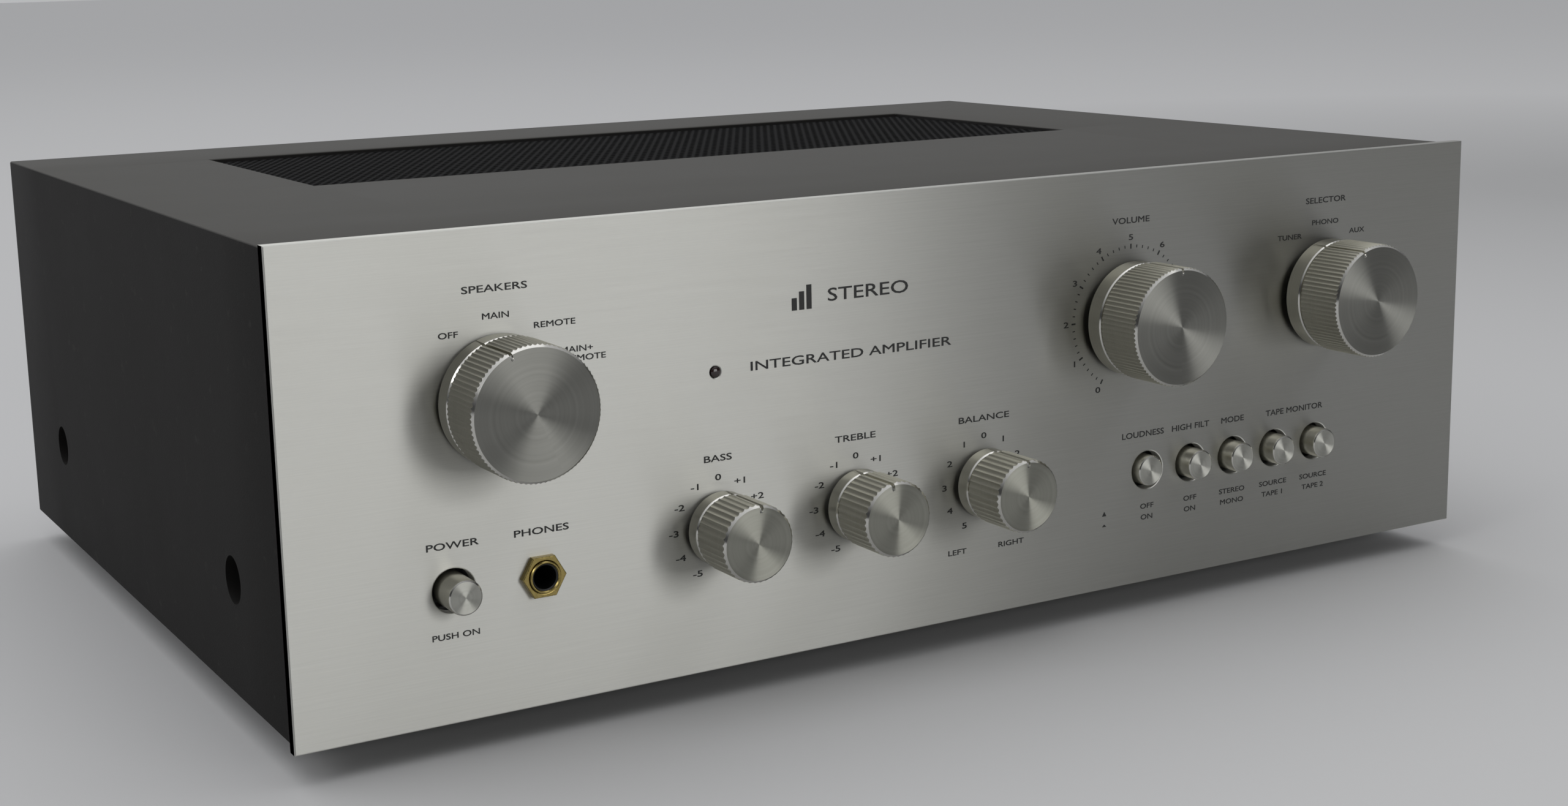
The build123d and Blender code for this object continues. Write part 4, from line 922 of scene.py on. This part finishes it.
def sink_hole(bm, face, place, radius, depth):
    """Turns a small square face into a round flat-bottomed hole."""
    bmesh.ops.subdivide_edges(bm, edges=face.edges[:], cuts=9)
    middle = faces_near(bm, place - Vector((MM,) * 3), place + Vector((MM,) * 3))
    square = min(middle, key=lambda f: f.calc_area())
    bmesh.ops.inset_individual(bm, faces=[square], thickness=0.4 * MM)
    for vert in square.verts:
        vert.co = place + (vert.co - place).normalized() * radius
    made = bmesh.ops.extrude_discrete_faces(bm, faces=[square])
    bmesh.ops.translate(bm, verts=made["faces"][0].verts[:], vec=depth)


class AMPLIFIER_OT_cabinet(bpy.types.Operator):
    """Folds the vinyl-covered cabinet over the chassis, with its vent well and screw recesses"""

    bl_idname = "amplifier.cabinet"
    bl_label = "Cabinet"

    def execute(self, context):
        looks = context.scene.amplifier_cabinet
        low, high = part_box("cabinet_top")
        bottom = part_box("cabinet_side_left")[0].z
        board = high.z - low.z
        grille_low, grille_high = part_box("vent_grille")
        gap = 0.3 * MM
        ledge = 6 * MM
        slack = 0.1 * MM
        bm = bmesh.new()
        outer = [(low.x, bottom), (low.x, high.z), (high.x, high.z), (high.x, bottom)]
        left, right = low.x + board, high.x - board
        inner = [(left, bottom), (left, low.z), (right, low.z), (right, bottom)]
        rows = [[bm.verts.new((x, low.y, z)) for x, z in side] for side in (outer, inner)]
        for i in range(3):
            bm.faces.new((rows[0][i], rows[0][i + 1], rows[1][i + 1], rows[1][i]))
        made = bmesh.ops.extrude_face_region(bm, geom=bm.faces[:], use_keep_orig=True)["geom"]
        shift_points(bm, made, REAR * (high.y - low.y))
        bmesh.ops.recalc_face_normals(bm, faces=bm.faces)
        well_low = grille_low - Vector((gap, gap, 0))
        well_high = grille_high + Vector((gap, gap, 0))
        for corner, inward in ((well_low, 1), (well_high, -1)):
            for step in (0, ledge):
                cut_across(bm, corner + Vector((step, step, 0)) * inward, RIGHT, low.z - slack)
                cut_across(bm, corner + Vector((step, step, 0)) * inward, REAR, low.z - slack)
        well = faces_near(
            bm, (well_low.x, well_low.y, high.z - slack), (well_high.x, well_high.y, high.z + slack)
        )
        sunk = bmesh.ops.extrude_face_region(bm, geom=well)["geom"]
        shift_points(bm, sunk, UP * (grille_low.z - high.z))
        bmesh.ops.delete(bm, geom=[face for face in well if face.is_valid], context="FACES_ONLY")
        floor_low = (well_low.x + ledge, well_low.y + ledge, low.z - slack)
        floor_high = (well_high.x - ledge, well_high.y - ledge, grille_low.z + slack)
        hole = faces_near(bm, floor_low, floor_high)
        bmesh.ops.delete(bm, geom=hole, context="FACES_ONLY")
        loops = [edge for edge in bm.edges if edge.is_boundary]
        bmesh.ops.bridge_loops(bm, edges=loops)
        bmesh.ops.remove_doubles(bm, verts=bm.verts, dist=WELD)
        bmesh.ops.recalc_face_normals(bm, faces=bm.faces)
        sharp = [edge for edge in bm.edges if edge.is_manifold and edge.calc_face_angle() > 1.0]
        bmesh.ops.bevel(
            bm, geom=sharp, offset=looks.corner, affect="EDGES", segments=3, profile=0.5, material=-1,
            clamp_overlap=True,
        )
        self.sink_screw_holes(bm, low.x, high.x)
        nodes = ["cabinet_top", "cabinet_side_left", "cabinet_side_right"]
        finish_piece("vinyl_cabinet", bm, [vinyl_on_fibreboard()], nodes)
        return {"FINISHED"}

    def sink_screw_holes(self, bm, left, right):
        """Sinks the two round recesses in each side, where the cabinet's screws sit."""
        low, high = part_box("cabinet_screws")
        radius = 6.75 * MM
        height = (low.z + high.z) / 2
        fronts = (low.y + 6 * MM, high.y - 6 * MM)
        reach = Vector((0, radius + 2 * MM, 0)), Vector((0, 0, radius + 2 * MM))
        for y in fronts:
            for span in reach:
                for sign in (-1, 1):
                    cut_across(bm, Vector((0, y, height)) + span * sign, span)
        for x, inward in ((left, 1), (right, -1)):
            for y in fronts:
                place = Vector((x, y, height))
                found = faces_near(bm, place - Vector((MM,) * 3), place + Vector((MM,) * 3))
                sink_hole(bm, found[0], place, radius, RIGHT * (8 * MM * inward))


class AMPLIFIER_OT_vent_grille(bpy.types.Operator):
    """Perforates the vent grille with staggered round holes"""

    bl_idname = "amplifier.vent_grille"
    bl_label = "Vent grille"

    def execute(self, context):
        looks = context.scene.amplifier_vent
        low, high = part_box("vent_grille")
        half = Vector((looks.pitch / 2, looks.pitch * math.sqrt(3) / 4, 0))
        columns = math.ceil((high.x - low.x) / looks.pitch) + 1
        rows = math.ceil((high.y - low.y) / (4 * half.y)) + 1
        bm = bmesh.new()
        for shift in (Vector((0, 0, 0)), Vector((half.x, 2 * half.y, 0))):
            place = Matrix.Translation(Vector((low.x, low.y, high.z)) + shift)
            outer = bmesh.ops.create_circle(bm, segments=8, radius=2 * half.x, matrix=place)["verts"]
            for vert in outer:
                reach = vert.co - place.translation
                for i in range(2):
                    reach[i] = max(-half[i], min(half[i], reach[i]))
                vert.co = place.translation + reach
            hole = bmesh.ops.create_circle(bm, segments=8, radius=looks.hole / 2, matrix=place)["verts"]
            edges = {edge for vert in (*outer, *hole) for edge in vert.link_edges}
            bmesh.ops.bridge_loops(bm, edges=list(edges))
        for count, step in ((columns, RIGHT * (2 * half.x)), (rows, REAR * (4 * half.y))):
            cells = bm.verts[:] + bm.edges[:] + bm.faces[:]
            for i in range(1, count):
                copy = bmesh.ops.duplicate(bm, geom=cells)["geom"]
                shift_points(bm, copy, step * i)
        bmesh.ops.remove_doubles(bm, verts=bm.verts, dist=0.01 * MM)
        for edge, outward in ((low, -RIGHT), (high, RIGHT), (low, FRONT), (high, REAR)):
            bmesh.ops.bisect_plane(
                bm, geom=bm.verts[:] + bm.edges[:] + bm.faces[:], dist=WELD, plane_co=edge,
                plane_no=outward, clear_outer=True,
            )
        bmesh.ops.recalc_face_normals(bm, faces=bm.faces)
        if bm.faces[:][0].normal.z < 0:
            bmesh.ops.reverse_faces(bm, faces=bm.faces)
        bmesh.ops.solidify(bm, geom=bm.faces[:], thickness=high.z - low.z)
        black = ("040404", "070707")
        finish = enamelled_steel("black_enamelled_perforated_steel", black, (0.75, 0.85), 1 * MM, 0.05)
        finish_piece("perforated_grille", bm, [finish], ["vent_grille"])
        return {"FINISHED"}


def smooth_copy(node, finishes):
    """Stands a merged, smoothly shaded copy of a CAD node in its place."""
    source = frame["nodes"][node]
    bm = bmesh.new()
    bm.from_mesh(source.data)
    name = next(row["material_slot"] for row in frame["record"]["subparts"] if row["node"] == node)
    finish_piece(f"{node}_finished", bm, [finishes[name]], [node])


class AMPLIFIER_OT_fittings(bpy.types.Operator):
    """Gives the feet, the rear connectors, the fasteners and everything inside their finishes"""

    bl_idname = "amplifier.fittings"
    bl_label = "Fittings and inside"

    def execute(self, context):
        finishes = cad_finishes()
        round_nodes = (
            "rubber_feet", "foot_screws", "cabinet_screws", "rear_panel_screws", "phono_jack_insulator",
            "phono_jack_shells", "speaker_terminal_blocks", "speaker_terminal_screws", "mains_outlets",
            "fuse_holder", "mains_cord_bushing", "ground_terminal", "filter_capacitors", "output_transistors",
        )
        for row in frame["record"]["subparts"]:
            for part in frame["nodes"][row["node"]].material_slots:
                part.material = finishes[row["material_slot"]]
        for node in round_nodes:
            smooth_copy(node, finishes)
        return {"FINISHED"}


# ---- stage


def seamless_paper():
    """Matt seamless paper: a pale grey with the faintest tooth, and a painted shade that darkens it towards
    one spot.
    """
    material, tree, shader = new_material("seamless_paper_matt", {"Specular IOR Level": 0.04})
    looks = bpy.context.scene.amplifier_stage
    place = add_node(tree, "ShaderNodeTexCoord").outputs["Object"]
    # painted shade: the paper is painted darker towards a spot to the right of and behind the amplifier
    reach = {0: place, 1: PAINTED_SHADE_CENTRE}
    away = add_node(tree, "ShaderNodeVectorMath", reach, operation="DISTANCE").outputs["Value"]
    shaded = spread(tree, away, 1.0, 0.0, 0.1, 1.1)
    paper = blend_colours(tree, shaded, list(looks.paper) + [1], "a0a0a0")
    surface(tree, shader, grain(tree, 2 * MM, (1, 1, 1), place), (paper, paper), (0.85, 0.95), 0.03 * MM)
    return material


def add_light(name, place, target, size, radiance):
    """A white area light that shines on a target with an even radiance."""
    light = bpy.data.lights.new(name, "AREA")
    light.shape = "RECTANGLE"
    light.size, light.size_y = size
    light.energy = radiance * math.pi * size[0] * size[1]
    lamp = bpy.data.objects.new(name, light)
    lamp.location = place
    lamp.rotation_euler = (Vector(target) - Vector(place)).to_track_quat("-Z", "Y").to_euler()
    bpy.context.scene.collection.objects.link(lamp)


class AMPLIFIER_OT_stage(bpy.types.Operator):
    """Lays the floor and sets the lights and the camera"""

    bl_idname = "amplifier.stage"
    bl_label = "Stage"

    def execute(self, context):
        looks = context.scene.amplifier_stage
        bm = bmesh.new()
        bmesh.ops.create_grid(bm, x_segments=1, y_segments=1, size=looks.extent / 2)
        mesh = bpy.data.meshes.new("floor")
        bm.to_mesh(mesh)
        bm.free()
        mesh.materials.append(seamless_paper())
        floor = bpy.data.objects.new("floor", mesh)
        context.scene.collection.objects.link(floor)
        self.light_room(context)
        camera = bpy.data.objects.new("camera", bpy.data.cameras.new("camera"))
        camera.location = CAMERA_PLACE
        camera.rotation_euler = [math.radians(a) for a in CAMERA_TURN]
        camera.data.lens = looks.lens
        camera.data.shift_x, camera.data.shift_y = CAMERA_SHIFT
        camera.data.clip_start = 0.01
        context.scene.collection.objects.link(camera)
        context.scene.camera = camera
        context.scene.view_settings.view_transform = "Standard"
        return {"FINISHED"}

    def light_room(self, context):
        """A room lit from over the back, with soft lights overhead, in front on the right and on the left."""
        looks = context.scene.amplifier_stage
        world = bpy.data.worlds.new("room")
        world.use_nodes = True
        tree = world.node_tree
        facing = add_node(tree, "ShaderNodeTexCoord").outputs["Generated"]
        lit_side = {0: facing, 1: LIT_SIDE}
        shade = add_node(tree, "ShaderNodeVectorMath", lit_side, operation="DOT_PRODUCT").outputs["Value"]
        strength = spread(tree, shade, 0.05 * looks.room, looks.room, 0.05, 0.85)
        tree.links.new(strength, tree.nodes["Background"].inputs["Strength"])
        tree.nodes["Background"].inputs["Color"].default_value = linear("fbfcff")
        context.scene.world = world
        for name, settings in LIGHTS.items():
            add_light(name, *settings)


# ---- add-on


OPERATORS = (
    AMPLIFIER_OT_front_panel,
    AMPLIFIER_OT_front_print,
    AMPLIFIER_OT_rear_print,
    AMPLIFIER_OT_knobs,
    AMPLIFIER_OT_buttons,
    AMPLIFIER_OT_headphone_socket,
    AMPLIFIER_OT_power_lamp,
    AMPLIFIER_OT_cabinet,
    AMPLIFIER_OT_vent_grille,
    AMPLIFIER_OT_fittings,
    AMPLIFIER_OT_stage,
)
LOOKS = {
    "amplifier_front": FrontLooks,
    "amplifier_knobs": KnobLooks,
    "amplifier_cabinet": CabinetLooks,
    "amplifier_vent": VentLooks,
    "amplifier_stage": StageLooks,
}


class AMPLIFIER_PT_make(bpy.types.Panel):
    """Lists the amplifier's pieces and their sizes and colours"""

    bl_idname = "AMPLIFIER_PT_make"
    bl_label = "Amplifier"
    bl_space_type = "VIEW_3D"
    bl_region_type = "UI"
    bl_category = "Amplifier"

    def draw(self, context):
        for name, looks in LOOKS.items():
            for prop in looks.__annotations__:
                self.layout.prop(getattr(context.scene, name), prop)
        for operator in OPERATORS:
            self.layout.operator(operator.bl_idname)


def register():
    for part in (*LOOKS.values(), *OPERATORS, AMPLIFIER_PT_make):
        bpy.utils.register_class(part)
    for name, looks in LOOKS.items():
        setattr(bpy.types.Scene, name, PointerProperty(type=looks))


def unregister():
    for name in LOOKS:
        delattr(bpy.types.Scene, name)
    for part in reversed((*LOOKS.values(), *OPERATORS, AMPLIFIER_PT_make)):
        bpy.utils.unregister_class(part)


def main():
    """Makes every piece in order."""
    register()
    bpy.ops.amplifier.front_panel()
    bpy.ops.amplifier.front_print()
    bpy.ops.amplifier.rear_print()
    bpy.ops.amplifier.knobs()
    bpy.ops.amplifier.buttons()
    bpy.ops.amplifier.headphone_socket()
    bpy.ops.amplifier.power_lamp()
    bpy.ops.amplifier.cabinet()
    bpy.ops.amplifier.vent_grille()
    bpy.ops.amplifier.fittings()
    bpy.ops.amplifier.stage()


if __name__ == "__main__":
    main()
